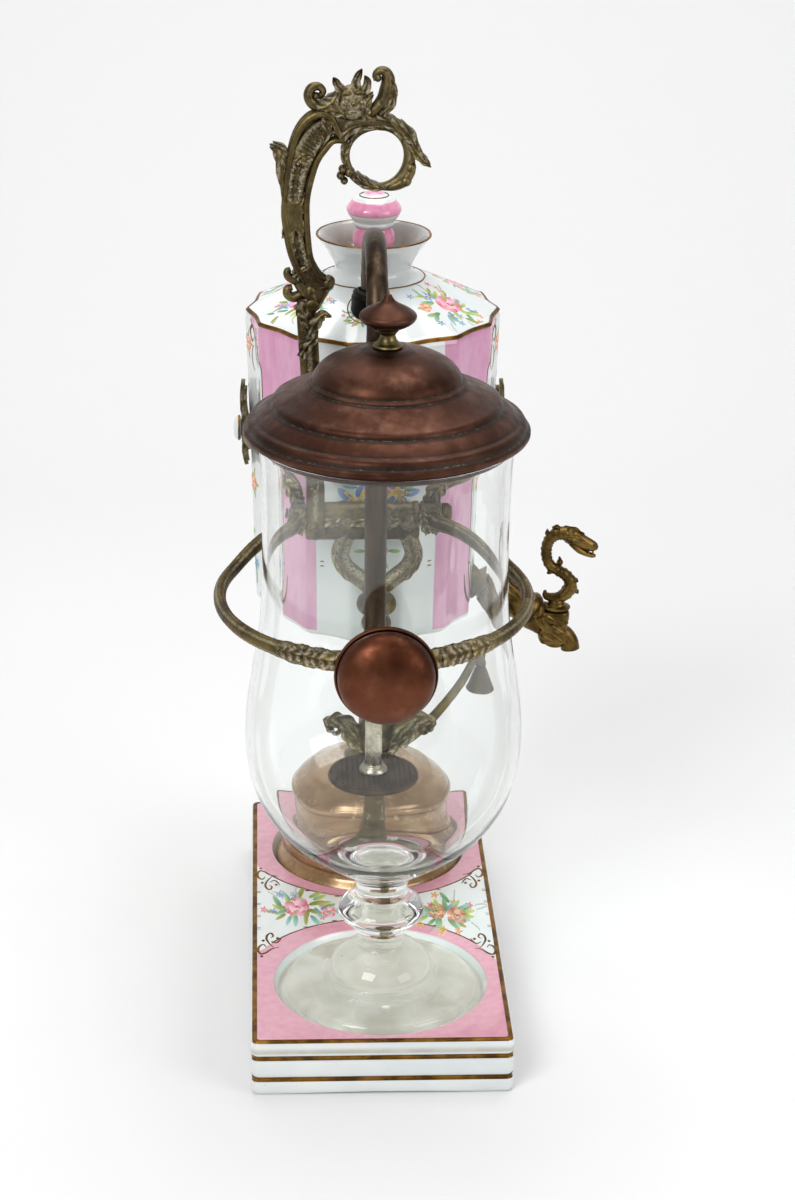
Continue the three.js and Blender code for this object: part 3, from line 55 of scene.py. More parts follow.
FUNNEL_RIM = 366.5
TRUNNION_Z = 266
PIPE_X, PIPE_REAR, PIPE_FRONT = -2.5, 33, -46
CONE_REACH = 71
HANDLE_Y = -6
GLASS_RIM = 309
LID_RIM = 312.4
WELL_FLOOR = 23.3
GLASS_WELL, LAMP_WELL = 52, 51
MM = 0.001


def clamped(value):
    return min(max(value, 0), 1)


def angles(count):
    """Evenly spaced angles, a full turn."""
    return [2 * math.pi * i / count for i in range(count)]


def between(a, b, t):
    return a + (b - a) * t


def along(values, t):
    """The value at t of a row of values at equal steps."""
    place = clamped(t) * (len(values) - 1)
    i = min(int(place), len(values) - 2)
    return between(values[i], values[i + 1], place - i)


def curve_through(points, steps=8):
    """A smooth row of points through the given ones."""
    points = [Vector(p) for p in points]
    row = [points[0] * 2 - points[1]] + points + [points[-1] * 2 - points[-2]]
    out = []
    for a, b, c, d in zip(row, row[1:], row[2:], row[3:]):
        for i in range(steps):
            t = i / steps
            out.append(0.5 * (2 * b + (c - a) * t + (2 * a - 5 * b + 4 * c - d) * t * t
                + (3 * b - a - 3 * c + d) * t ** 3))
    return out + [points[-1]]


def softened(profile, radius=0.6, steps=3):
    """The profile with its corners rounded."""
    points = [Vector(p) for p in profile]
    out = [points[0]]
    for a, b, c in zip(points, points[1:], points[2:]):
        reach_in = min(radius, (a - b).length * 0.45)
        reach_out = min(radius, (c - b).length * 0.45)
        start = b + (a - b).normalized() * reach_in
        end = b + (c - b).normalized() * reach_out
        for i in range(steps + 1):
            t = i / steps
            out.append(start * (1 - t) ** 2 + b * 2 * t * (1 - t) + end * t * t)
    return out + [points[-1]]


def mesh_of(name, points, faces, edges=()):
    """A mesh in metres from points in millimetres."""
    mesh = bpy.data.meshes.new(name)
    mesh.from_pydata([p * MM for p in points], edges, faces)
    return mesh


def outwards(mesh, weld=False):
    """Turns a mesh's faces outwards; weld first joins points that lie on each other."""
    shape = bmesh.new()
    shape.from_mesh(mesh)
    if weld:
        bmesh.ops.remove_doubles(shape, verts=shape.verts, dist=1e-7)
    bmesh.ops.recalc_face_normals(shape, faces=shape.faces)
    shape.to_mesh(mesh)
    shape.free()


def shaded(mesh, angle=35):
    """Smooth shading, with edges above the angle kept sharp."""
    mesh.shade_smooth()
    mesh.set_sharp_from_angle(angle=math.radians(angle))


def linked(name, data):
    """A new object in the scene."""
    made = bpy.data.objects.new(name, data)
    bpy.context.collection.objects.link(made)
    return made


def evaluated(target):
    """The mesh that an object's modifiers give."""
    bpy.context.view_layer.update()
    return bpy.data.meshes.new_from_object(target.evaluated_get(bpy.context.evaluated_depsgraph_get()))


def handed_in(made, body, nodes):
    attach(made, body)
    if nodes:
        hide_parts(*nodes)
    return made


class Form:
    """Points and faces of one piece in millimetres, with how hollow or how painted each point is."""

    def __init__(self):
        self.points, self.faces, self.marks = [], [], []

    def ring(self, points, marks=0.0):
        """Adds a ring of points, with one mark for all or a list with one for each."""
        start = len(self.points)
        self.points += [Vector(p) for p in points]
        self.marks += marks if isinstance(marks, list) else [marks] * len(points)
        return list(range(start, len(self.points)))

    def join(self, a, b):
        """Faces between two rings, either of which may be a single pole."""
        count = max(len(a), len(b))
        for i in range(count):
            j = (i + 1) % count
            if len(a) == 1:
                self.faces.append((a[0], b[j], b[i]))
            elif len(b) == 1:
                self.faces.append((a[i], a[j], b[0]))
            else:
                self.faces.append((a[i], a[j], b[j], b[i]))

    def skin(self, rings, closed=False, capped=False):
        """Faces along a row of rings: closed goes on from the last to the first, capped fills both ends."""
        for a, b in zip(rings, rings[1:]):
            if len(a) > 1 or len(b) > 1:
                self.join(a, b)
        if closed:
            self.join(rings[-1], rings[0])
        if capped:
            self.faces += [tuple(reversed(rings[0])), tuple(rings[-1])]
        return self

    def turned(self, profile, sides=96, place=None, marks=0.0):
        """A solid of revolution about Z; a profile that leaves the axis is closed on itself."""
        rings = []
        for k, (r, z) in enumerate(profile):
            mark = marks[k] if isinstance(marks, list) else marks
            spots = [(0, 0, z)]
            if r >= 1e-6:
                spots = [(r * math.cos(a), r * math.sin(a), z) for a in angles(sides)]
            if place:
                spots = [place @ Vector(p) for p in spots]
            rings.append(self.ring(spots, mark))
        return self.skin(rings, len(rings[0]) > 1 and len(rings[-1]) > 1)

    def swept(self, path, section, up=(0, 0, 1), closed=False):
        """A section carried along a path. section(t) gives (across, out, mark) for each point."""
        path = [Vector(p) for p in path]
        rings = []
        for i, here in enumerate(path):
            before = path[i - 1] if i or closed else here
            after = path[(i + 1) % len(path)] if i < len(path) - 1 or closed else here
            forward = (after - before).normalized()
            normal = Vector(up(i / (len(path) - 1), here) if callable(up) else up)
            side = forward.cross(normal).normalized()
            out = side.cross(forward).normalized()
            points = section(i / (len(path) - 1))
            rings.append(self.ring([here + side * a + out * b for a, b, _ in points],
                [m for _, _, m in points]))
        return self.skin(rings, closed, not closed)

    def lump(self, centre, radii, sides=20, turn=None, mark=0.0):
        profile = [(math.sin(math.pi * i / 10), -math.cos(math.pi * i / 10)) for i in range(11)]
        profile[0], profile[-1] = (0, -1), (0, 1)
        place = Matrix.Translation(centre) @ (turn or Matrix()) @ Matrix.Diagonal((*radii, 1))
        return self.turned(profile, sides, place, mark)

    def moved(self, place):
        self.points = [place @ p for p in self.points]
        return self

    def made(self, name, body, material, slot, nodes=(), angle=35):
        """The piece as an object that rides on its body in place of the CAD nodes."""
        mesh = mesh_of(name, self.points, self.faces)
        outwards(mesh)
        if self.marks and isinstance(self.marks[0], tuple):
            paint = mesh.color_attributes.new("paint", "FLOAT_COLOR", "POINT")
            for i, mark in enumerate(self.marks):
                paint.data[i].color = mark
        else:
            hollow = mesh.attributes.new("hollow", "FLOAT", "POINT")
            hollow.data.foreach_set("value", [float(m) for m in self.marks])
        shaded(mesh, angle)
        mesh.materials.append(material)
        return handed_in(linked(name, mesh), body, nodes)


def round_section(radius, sides=20, hollow=0.0, flat=1.0):
    return [(radius * math.cos(a), radius * flat * math.sin(a), hollow) for a in angles(sides)]


def towards(point, direction):
    """Places a form turned about Z at a point, with Z along a direction."""
    return Matrix.Translation(point) @ Vector(direction).to_track_quat("Z", "Y").to_matrix().to_4x4()


def acanthus(form, path, width, thick, up, lobes=4, steps=7, cup=0.35, tip=0.12):
    """A cast leaf along a path: lobed edges, a raised midrib and slanting veins."""
    path = curve_through(path, steps)

    def section(t):
        swell = math.sin(math.pi * (0.22 + 0.78 * t)) ** 0.7 if t < 1 else 0
        half = width / 2 * max(swell * (0.74 + 0.26 * abs(math.cos(math.pi * lobes * t))), tip)
        top = []
        for k in range(11):
            across = k / 5 - 1
            vein = math.cos(2 * math.pi * lobes * (t + 0.22 * abs(across)))
            rib = math.exp(-((across / 0.2) ** 2))
            height = thick * (0.34 + 0.3 * rib + 0.1 * vein * abs(across) + cup * (abs(across) ** 2.2)
                * 0.5)
            top.append((across * half, height * (1 - 0.45 * t), clamped(0.42 - 0.42 * vein - 0.6 * rib)))
        base = [(across * half * 0.85, -thick * 0.4 * (1 - 0.5 * t), 0.3) for across in (0.9, 0.35, -0.35,
            -0.9)]
        return list(reversed(top)) + list(reversed(base))

    return form.swept(path, section, up)


def scroll_path(centre, radius, start, turns, shrink=0.72, steps=40):
    """A flat spiral about a centre, in a plane square to Y, that tightens towards its eye."""
    x, y, z = centre
    row = []
    for i in range(steps + 1):
        t = i / steps
        angle = start + 2 * math.pi * turns * t
        r = radius * (1 - shrink * t)
        row.append(Vector((x + r * math.cos(angle), y, z + r * math.sin(angle))))
    return row


# Materials

def linear(code):
    """A hex sRGB colour as linear red, green, blue and alpha."""
    parts = [int(code[i : i + 2], 16) / 255 for i in (1, 3, 5)]
    return tuple(c / 12.92 if c <= 0.04045 else ((c + 0.055) / 1.055) ** 2.4 for c in parts) + (1.0,)


def add(tree, kind, links=None, **settings):
    """Adds a node with its settings, and its inputs as values or as links from other sockets."""
    made = tree.nodes.new(kind)
    for name, value in settings.items():
        setattr(made, name, value)
    for key, source in (links or {}).items():
        if isinstance(source, bpy.types.NodeSocket):
            tree.links.new(source, made.inputs[key])
        else:
            made.inputs[key].default_value = source
    return made


def material(name, **values):
    """A material with its shader's plain values; returns it with its tree and shader."""
    made = bpy.data.materials.new(name)
    made.use_nodes = True
    tree = made.node_tree
    shader = tree.nodes["Principled BSDF"]
    for key, value in values.items():
        shader.inputs[key.replace("_", " ")].default_value = value
    return made, tree, shader


def mapped(tree, value, low, high, to_low=0.0, to_high=1.0):
    """The value spread from one range to another, smoothly and clamped."""
    return add(tree, "ShaderNodeMapRange", {"Value": value, "From Min": low, "From Max": high,
        "To Min": to_low, "To Max": to_high}, interpolation_type="SMOOTHSTEP").outputs[0]


def maths(tree, operation, *values):
    """A maths node; more than two values are taken up one after the other."""
    while len(values) > 2:
        values = (maths(tree, operation, *values[:2]), *values[2:])
    return add(tree, "ShaderNodeMath", dict(enumerate(values)), operation=operation).outputs[0]


def mixed(tree, share, first, second):
    """A colour mix; colours are hex codes or sockets."""
    one, two = (linear(c) if isinstance(c, str) else c for c in (first, second))
    return add(tree, "ShaderNodeMix", {0: share, 6: one, 7: two}, data_type="RGBA").outputs[2]


def clouds(tree, scale, detail=4.0, rough=0.55, stretch=None, offset=0.0):
    """Noise on Object coordinates; the scale is in features a metre."""
    spot = add(tree, "ShaderNodeTexCoord").outputs["Object"]
    if stretch or offset:
        spot = add(tree, "ShaderNodeMapping", {"Vector": spot, "Scale": stretch or (1, 1, 1),
            "Location": (offset, offset * 0.7, offset * 0.3)}).outputs[0]
    return add(tree, "ShaderNodeTexNoise", {"Vector": spot, "Scale": scale, "Detail": detail,
        "Roughness": rough}).outputs["Fac"]


def raised(tree, shader, height, strength, distance):
    bump = add(tree, "ShaderNodeBump", {"Height": height, "Strength": strength, "Distance": distance})
    tree.links.new(bump.outputs[0], shader.inputs["Normal"])


def hollowness(tree):
    """How deep in a hollow each point lies, from 0 to 1, as the form's marks say."""
    return add(tree, "ShaderNodeAttribute", attribute_name="hollow").outputs["Fac"]


def wire(tree, shader, **sources):
    """Links sockets to the shader's inputs; an underscore in a name stands for a space."""
    for name, source in sources.items():
        tree.links.new(source, shader.inputs[name.replace("_", " ")])


# Antique bronze, sand cast and chased: dark in its low places, rubbed brighter on its high ones, with
# polish and dust settled pale in its hollows
antique_bronze, tree, shader = material("antique_bronze", Metallic=1.0)
fine = clouds(tree, 900, 3, 0.65)
tone = mixed(tree, mapped(tree, clouds(tree, 60, 5), 0.38, 0.66), "#493d25", "#74653d")
tone = mixed(tree, mapped(tree, clouds(tree, 210, 4, offset=0.4), 0.55, 0.78), tone, "#93825a")
low_place = maths(tree, "MULTIPLY", hollowness(tree), mapped(tree, fine, 0.3, 0.62))
tone = mixed(tree, maths(tree, "MULTIPLY", low_place, 0.85), tone, "#bdb39b")
wire(tree, shader, Base_Color=tone, Metallic=mapped(tree, low_place, 0.1, 0.7, 1.0, 0.25),
    Roughness=mapped(tree, fine, 0.3, 0.7, 0.34, 0.6))
raised(tree, shader, fine, 0.25, 0.0004)

# Drawn bronze tube, brown, rubbed golden in streaks along its length
tube_bronze, tree, shader = material("tube_bronze", Metallic=1.0, Roughness=0.42)
streaks = clouds(tree, 120, 3, stretch=(1, 1, 0.12))
tone = mixed(tree, mapped(tree, streaks, 0.4, 0.75), "#3a3027", "#665642")
tone = mixed(tree, mapped(tree, clouds(tree, 700, 4), 0.5, 0.8), tone, "#574a3c")
wire(tree, shader, Base_Color=tone)
raised(tree, shader, clouds(tree, 1500), 0.15, 0.0002)


def spun_copper(name, deep, warm, bright, verdigris):
    """Spun copper with a brown patina, faint rings from the lathe and verdigris in its grooves."""
    made, tree, shader = material(name, Metallic=1.0)
    hollow = hollowness(tree)
    tone = mixed(tree, mapped(tree, clouds(tree, 32, 5), 0.35, 0.68), deep, warm)
    glow = mapped(tree, clouds(tree, 85, 6, 0.6, offset=0.2), 0.5, 0.75, 0.0, 0.6)
    tone = mixed(tree, glow, tone, bright)
    spots = maths(tree, "MULTIPLY", mapped(tree, clouds(tree, 620, 4, 0.7), 0.62, 0.72), 0.6)
    tone = mixed(tree, spots, tone, "#2a1a12")
    # The deeper a point lies in a hollow, the nearer its colour goes to near black and the less metallic it
    # is
    darkened_hollows = maths(tree, "MULTIPLY", hollow, mapped(tree, clouds(tree, 500, 3), 0.3, 0.6, 0.55, 1.0))
    tone = mixed(tree, darkened_hollows, tone, "#1d1610")
    deepest = maths(tree, "GREATER_THAN", hollow, 0.86)
    green = maths(tree, "MULTIPLY", deepest, mapped(tree, clouds(tree, 420, 3), 0.52, 0.62))
    tone = mixed(tree, maths(tree, "MULTIPLY", green, 0.35), tone, verdigris)
    wire(tree, shader, Base_Color=tone, Roughness=mapped(tree, clouds(tree, 150, 5), 0.3, 0.7, 0.38, 0.56),
        Metallic=mapped(tree, darkened_hollows, 0.3, 1.0, 1.0, 0.4))
    raised(tree, shader, clouds(tree, 260, 5), 0.12, 0.0006)
    return made


lid_copper = spun_copper("lid_copper", "#42291f", "#5b3d31", "#6c4d3f", "#66806f")
weight_copper = spun_copper("weight_copper", "#4c2a1c", "#704330", "#855640", "#5c7f6c")


def gilt_metal(name, dull, bright, rough):
    """Brass that was gilt: worn and tarnished in clouds, bright where hands rub it."""
    made, tree, shader = material(name, Metallic=1.0)
    tone = mixed(tree, mapped(tree, clouds(tree, 110, 5), 0.36, 0.66), dull, bright)
    tone = mixed(tree, maths(tree, "MULTIPLY", hollowness(tree), 0.7), tone, "#3a2a14")
    wire(tree, shader, Base_Color=tone,
        Roughness=mapped(tree, clouds(tree, 500, 3), 0.3, 0.7, rough, rough + 0.18))
    raised(tree, shader, clouds(tree, 900, 3), 0.12, 0.0003)
    return made


tap_brass = gilt_metal("tap_brass", "#524222", "#83693a", 0.3)
neck_brass = gilt_metal("neck_brass", "#584d32", "#85764c", 0.3)
tinned_tube = gilt_metal("tinned_tube", "#98907c", "#cfc8b6", 0.22)
burnished_gilding = gilt_metal("burnished_gilding", "#5c3f1a", "#94692c", 0.3)
blackened_ferrule = gilt_metal("blackened_ferrule", "#1d1c1b", "#34302c", 0.4)
strainer_bronze = gilt_metal("strainer_bronze", "#33271f", "#54412f", 0.5)


def glaze(name, colour_of):
    """Porcelain under a clear lead glaze: hard and glossy, with faint waves and a few specks."""
    made, tree, shader = material(name, Roughness=0.12, Specular_IOR_Level=0.55, Coat_Weight=0.35,
        Coat_Roughness=0.05)
    spot = add(tree, "ShaderNodeTexCoord").outputs["Object"]
    x, y, z = add(tree, "ShaderNodeSeparateXYZ", {0: spot}).outputs
    paste = mixed(tree, mapped(tree, clouds(tree, 22, 3), 0.35, 0.65), "#e4e8e7", "#d9dfdf")
    tone = colour_of(tree, paste, x, y, z)
    specks = mapped(tree, clouds(tree, 1400, 2, 0.5, offset=1.3), 0.735, 0.76)
    tone = mixed(tree, maths(tree, "MULTIPLY", specks, 0.55), tone, "#6d5a45")
    wire(tree, shader, Base_Color=tone)
    raised(tree, shader, clouds(tree, 70, 3), 0.06, 0.0015)
    return made


def brushed_pink(tree, light, dark, scale=160):
    """A ground colour laid on by brush, a little uneven."""
    uneven = clouds(tree, scale, 5, 0.6, stretch=(1, 1, 0.4))
    return mixed(tree, mapped(tree, uneven, 0.3, 0.72), light, dark)


def far_from(tree, x, y, centre_x, centre_y):
    """Distance in millimetres from an upright line."""
    dx = maths(tree, "SUBTRACT", maths(tree, "MULTIPLY", x, 1000), centre_x)
    dy = maths(tree, "SUBTRACT", maths(tree, "MULTIPLY", y, 1000), centre_y)
    return maths(tree, "SQRT", maths(tree, "ADD", maths(tree, "MULTIPLY", dx, dx),
        maths(tree, "MULTIPLY", dy, dy)))


FRONT_ARC = (-2, -75, 64.5)
REAR_ARC = (0.7, 79.5, 67)


def plinth_colours(tree, paste, x, y, z):
    """Pink fields round both wells, on the top only."""
    wobble = mapped(tree, clouds(tree, 240, 3), 0.3, 0.7, -0.5, 0.5)
    front = maths(tree, "ADD", far_from(tree, x, y, *FRONT_ARC[:2]), wobble)
    rear = maths(tree, "ADD", far_from(tree, x, y, *REAR_ARC[:2]), wobble)
    beyond_front = maths(tree, "LESS_THAN", y, -0.0755)
    beyond_rear = maths(tree, "GREATER_THAN", y, 0.0795)
    in_front = maths(tree, "MAXIMUM", mapped(tree, front, FRONT_ARC[2] + 0.3, FRONT_ARC[2] - 0.3),
        beyond_front)
    in_rear = maths(tree, "MAXIMUM", mapped(tree, rear, REAR_ARC[2] + 0.3, REAR_ARC[2] - 0.3), beyond_rear)
    dry_front = mapped(tree, far_from(tree, x, y, GLASS_X, GLASS_Y), 51.8, 52.6)
    dry_rear = mapped(tree, far_from(tree, x, y, 0, BOILER_Y), 50.8, 51.6)
    field = maths(tree, "MAXIMUM", maths(tree, "MULTIPLY", in_front, dry_front),
        maths(tree, "MULTIPLY", in_rear, dry_rear))
    top = maths(tree, "GREATER_THAN", z, 0.0279)
    side = mapped(tree, maths(tree, "ABSOLUTE", x), 0.0618, 0.0614)
    field = maths(tree, "MULTIPLY", field, top, side)
    # The floors and lower walls of the wells are a greyer beige than the glaze around them
    sunk = mapped(tree, z, 0.0262, 0.0236)
    well_grey = mixed(tree, mapped(tree, clouds(tree, 60, 4), 0.35, 0.7), "#c8c6bc", "#b5b2a7")
    paste = mixed(tree, maths(tree, "MULTIPLY", sunk, mapped(tree, z, 0.0222, 0.0228)), paste, well_grey)
    return mixed(tree, field, paste, brushed_pink(tree, "#dfa5b5", "#d699aa", 240))


def boiler_colours(tree, paste, x, y, z):
    """Two pink bands in front and two behind, between white reserves."""
    angle = maths(tree, "ARCTAN2", maths(tree, "ABSOLUTE", x),
        maths(tree, "ABSOLUTE", maths(tree, "SUBTRACT", y, BOILER_Y / 1000)))
    degrees = maths(tree, "MULTIPLY", angle, 180 / math.pi)
    inner = mapped(tree, degrees, 32.0, 32.4)
    height = maths(tree, "MULTIPLY", z, 1000)
    end = maths(tree, "MAXIMUM", mapped(tree, height, 300, 326, 0, 1), mapped(tree, height, 200, 178, 0, 1))
    edge = maths(tree, "ADD", 63.0, maths(tree, "MULTIPLY", end, end, 20.0))
    outer = mapped(tree, maths(tree, "SUBTRACT", degrees, edge), 0.3, -0.3)
    wall = maths(tree, "MULTIPLY", mapped(tree, height, 327.4, 327.0), mapped(tree, height, 175.6, 176.2))
    field = maths(tree, "MULTIPLY", inner, outer, wall)
    # Inside the funnel the glaze is a greyish brown, darker lower down
    limit = maths(tree, "ADD", maths(tree, "MULTIPLY", maths(tree, "SUBTRACT", height, 353), 0.62), 19.2)
    inside = mapped(tree, maths(tree, "SUBTRACT", limit, far_from(tree, x, y, 0, BOILER_Y)), -0.2, 0.15)
    in_funnel = maths(tree, "GREATER_THAN", height, 352.6)
    fading = mapped(tree, height, 367, 357, 0.6, 1.0)
    uneven = mapped(tree, clouds(tree, 60, 4), 0.3, 0.6, 0.75, 1)
    funnel_dark = maths(tree, "MULTIPLY", inside, in_funnel, fading, uneven)
    paste = mixed(tree, funnel_dark, paste, "#7a6b60")
    return mixed(tree, field, paste, brushed_pink(tree, "#dca3c2", "#d191b4"))


def stopper_colours(tree, paste, x, y, z):
    """A pink foot and a pink belt round the bead."""
    height = maths(tree, "MULTIPLY", z, 1000)
    foot = maths(tree, "MULTIPLY", mapped(tree, height, 371.2, 370.8), mapped(tree, height, 360.6, 361.0))
    belt = maths(tree, "MULTIPLY", mapped(tree, height, 377.2, 377.6), mapped(tree, height, 384.0, 383.6))
    tip = mapped(tree, height, 386.9, 387.3)
    field = maths(tree, "MAXIMUM", foot, belt, tip)
    return mixed(tree, field, paste, brushed_pink(tree, "#ea9fbd", "#dc86aa", 300))


plinth_glaze = glaze("plinth_glaze", plinth_colours)
boiler_glaze = glaze("boiler_glaze", boiler_colours)
stopper_glaze = glaze("stopper_glaze", stopper_colours)
plain_glaze = glaze("plain_glaze", lambda tree, paste, x, y, z: paste)

# Enamel colours over the glaze, a little raised, thin at the ends of the strokes
flower_enamel, tree, shader = material("flower_enamel", Roughness=0.25)
wire(tree, shader, Base_Color=add(tree, "ShaderNodeVertexColor", layer_name="paint").outputs["Color"])

# Gold lustre: a thin metal film over an ivory glaze, so it shines warm and shows the body in its thin places
gold_lustre, tree, shader = material("gold_lustre", Metallic=0.45, Coat_Weight=0.5, Coat_Roughness=0.08)
film = clouds(tree, 40, 4, stretch=(1, 1, 2.2))
tone = mixed(tree, mapped(tree, film, 0.34, 0.68), "#8d6b43", "#b5926a")
tone = mixed(tree, mapped(tree, clouds(tree, 150, 4), 0.56, 0.7, 0, 0.5), tone, "#c4ab88")
wire(tree, shader, Base_Color=tone, Roughness=mapped(tree, clouds(tree, 90), 0.3, 0.7, 0.16, 0.3))

# Clear blown glass, faintly green, with seeds and wipes too small to model; lamps shine through it
blown_glass, tree, shader = material("blown_glass", Roughness=0.0, IOR=1.45, Transmission_Weight=1.0,
    Base_Color=linear("#fcfefd"), Specular_IOR_Level=0.24)
raised(tree, shader, clouds(tree, 14, 1), 0.02, 0.002)
path = add(tree, "ShaderNodeLightPath")
clear = add(tree, "ShaderNodeBsdfTransparent", {"Color": linear("#f7faf9")})
blend = add(tree, "ShaderNodeMixShader", {0: path.outputs["Is Shadow Ray"], 1: shader.outputs[0],
    2: clear.outputs[0]})
tree.links.new(blend.outputs[0], tree.nodes["Material Output"].inputs[0])

# Bottle cork, granular, soaked brown
soaked_cork, tree, shader = material("soaked_cork", Roughness=0.85)
wire(tree, shader, Base_Color=mixed(tree, mapped(tree, clouds(tree, 700, 5), 0.35, 0.65), "#6b3f22",
    "#a06a3c"))
raised(tree, shader, clouds(tree, 600, 5), 0.5, 0.0008)

# Braided cotton wick, charred at its top
braided_cotton, tree, shader = material("braided_cotton", Roughness=0.95)
spot = add(tree, "ShaderNodeTexCoord").outputs["Object"]
height = add(tree, "ShaderNodeSeparateXYZ", {0: spot}).outputs[2]
wire(tree, shader, Base_Color=mixed(tree, mapped(tree, height, 0.1322, 0.1344), "#ddd2b8", "#231d18"))
weave = add(tree, "ShaderNodeTexWave", {"Vector": spot, "Scale": 260.0, "Distortion": 2.0},
    bands_direction="DIAGONAL")
raised(tree, shader, weave.outputs["Fac"], 0.6, 0.0006)

# Pieces that keep the CAD's own shape
KEPT_FINISHES = {"column_washer": neck_brass, "column_nut": neck_brass,
    "counterweight_core": blackened_ferrule, "counterweight_bolt": antique_bronze,
    "left_arm_screw": antique_bronze, "right_arm_screw": antique_bronze}
for name, finish in KEPT_FINISHES.items():
    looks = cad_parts[name].data.materials
    looks.clear()
    looks.append(finish)


# Plinth

def rounded_outline(inset, corner, z, steps=8):
    half, front, rear = PLINTH_WIDTH / 2 - inset, -PLINTH_FRONT + inset, PLINTH_REAR - inset
    quarters = ((half - corner, rear - corner), (-half + corner, rear - corner),
        (-half + corner, front + corner), (half - corner, front + corner))
    out = []
    for quarter, (x, y) in enumerate(quarters):
        for i in range(steps + 1):
            a = (quarter + i / steps) * math.pi / 2
            out.append(Vector((x + corner * math.cos(a), y + corner * math.sin(a), z)))
    return out


plinth = Form()
rings = []
for low, high in zip(REEDS, REEDS[1:]):
    for i in range(1, 20):
        t = i / 20
        bulge = (1 - abs(2 * t - 1) ** 2.6) ** 0.5
        rings.append(plinth.ring(rounded_outline(2.0 * (1 - bulge), 3.4, between(low, high, t))))
under = plinth.ring(rounded_outline(2.0, 2.6, 0.12))
rings = [under] + rings
rings.append(plinth.ring(rounded_outline(1.5, 2.8, PLINTH_HEIGHT - 0.12)))
rings.append(plinth.ring(rounded_outline(2.0, 2.4, PLINTH_HEIGHT)))
plinth.skin(rings, capped=True)


def carve(target, cutters, crossing=False):
    """Cuts forms out of an object; crossing tells that the object's own parts run through each other."""
    for cutter in cutters:
        mesh = mesh_of("cutter", cutter.points, cutter.faces)
        outwards(mesh)
        tool = linked("cutter", mesh)
        modifier = target.modifiers.new("cut", "BOOLEAN")
        modifier.operation = "DIFFERENCE"
        modifier.solver = "EXACT"
        modifier.use_self = crossing
        modifier.object = tool
        cut = evaluated(target)
        target.modifiers.clear()
        old = target.data
        target.data = cut
        bpy.data.meshes.remove(old)
        bpy.data.objects.remove(tool)
        bpy.data.meshes.remove(mesh)
    shaded(target.data)


def well(radius, x, y):
    profile = softened([(0, WELL_FLOOR), (radius - 2.4, WELL_FLOOR), (radius, PLINTH_HEIGHT - 0.7),
        (radius + 0.8, 29.4), (0, 29.4)], 1.2, 5)
    return Form().turned(profile, 128, Matrix.Translation((x, y, 0)))


def skirt_arch(length, centre, along_x):
    """The slight rise of the lower edge between two corners."""
    form = Form()
    path = [Vector((between(-length / 2, length / 2, i / 40), 0, 0)) for i in range(41)]

    def section(t):
        rise = 1.5 * (1 - (2 * t - 1) ** 2)
        return [(-5, -2, 0), (5, -2, 0), (5, rise, 0), (-5, rise, 0)]

    turn = Matrix() if along_x else Matrix.Rotation(math.pi / 2, 4, "Z")
    return form.swept(path, section).moved(Matrix.Translation(centre) @ turn)


plinth = plinth.made("porcelain_plinth", "stand", plinth_glaze, "porcelain", ["base_plinth"])
middle_y = (PLINTH_REAR - PLINTH_FRONT) / 2
carve(plinth, [well(GLASS_WELL, GLASS_X, GLASS_Y), well(LAMP_WELL, 0, BOILER_Y),
    skirt_arch(110, (0, -PLINTH_FRONT - 0.5, 0), True), skirt_arch(110, (0, PLINTH_REAR + 0.5, 0), True),
    skirt_arch(240, (PLINTH_WIDTH / 2 + 0.5, middle_y, 0), False),
    skirt_arch(240, (-PLINTH_WIDTH / 2 - 0.5, middle_y, 0), False),
    Form().turned([(0, -1), (14.5, -1), (14.5, 9.3), (0, 9.3)], 48)])


# Gilding and enamel painted on the glaze

def gilt_line(form, path, width, up, proud=0.12, closed=False, taper=False):
    """A thin raised line of gold along a path on a surface."""

    def section(t):
        slim = math.sin(math.pi * min(max(t, 0.04), 0.96)) ** 0.5 if taper else 1
        half = width / 2 * slim
        return [(half, -proud, 0), (half * 0.7, proud * 0.7, 0), (0, proud, 0),
            (-half * 0.7, proud * 0.7, 0), (-half, -proud, 0)]

    form.swept(path, section, up, closed)


UP = Vector((0, 0, 1))
gilding = Form()


def gilt_band(form, rows):
    """A closed band of gold round the plinth from rows of inset and height."""
    rings = [form.ring(rounded_outline(inset, max(3.4 - inset * 0.6, 1.6), z)) for inset, z in rows]
    form.skin(rings, closed=True)


gilt_band(gilding, [(3.1, 28.6), (3.0, 28.87), (2.0, 28.88), (1.4, 28.78), (0.85, 28.45), (0.6, 28.0),
    (1.4, 27.9)])
for level in REEDS[1:3]:
    rows = ((2.2, -1.2), (0.4, -1.2), (0.78, -0.5), (0.9, 0), (0.78, 0.5), (0.4, 1.2), (2.2, 1.2))
    gilt_band(gilding, [(inset, level + rise) for inset, rise in rows])


def arc_path(centre_x, centre_y, radius, start, end, z, steps=64):
    out = []
    for i in range(steps + 1):
        a = math.radians(between(start, end, i / steps))
        out.append(Vector((centre_x + radius * math.cos(a), centre_y + radius * math.sin(a), z)))
    return out


TOP = PLINTH_HEIGHT + 0.04
gilt_line(gilding, arc_path(*FRONT_ARC, 141, 37, TOP), 1.0, UP)
gilt_line(gilding, arc_path(*REAR_ARC, 218, 322, TOP), 1.0, UP)


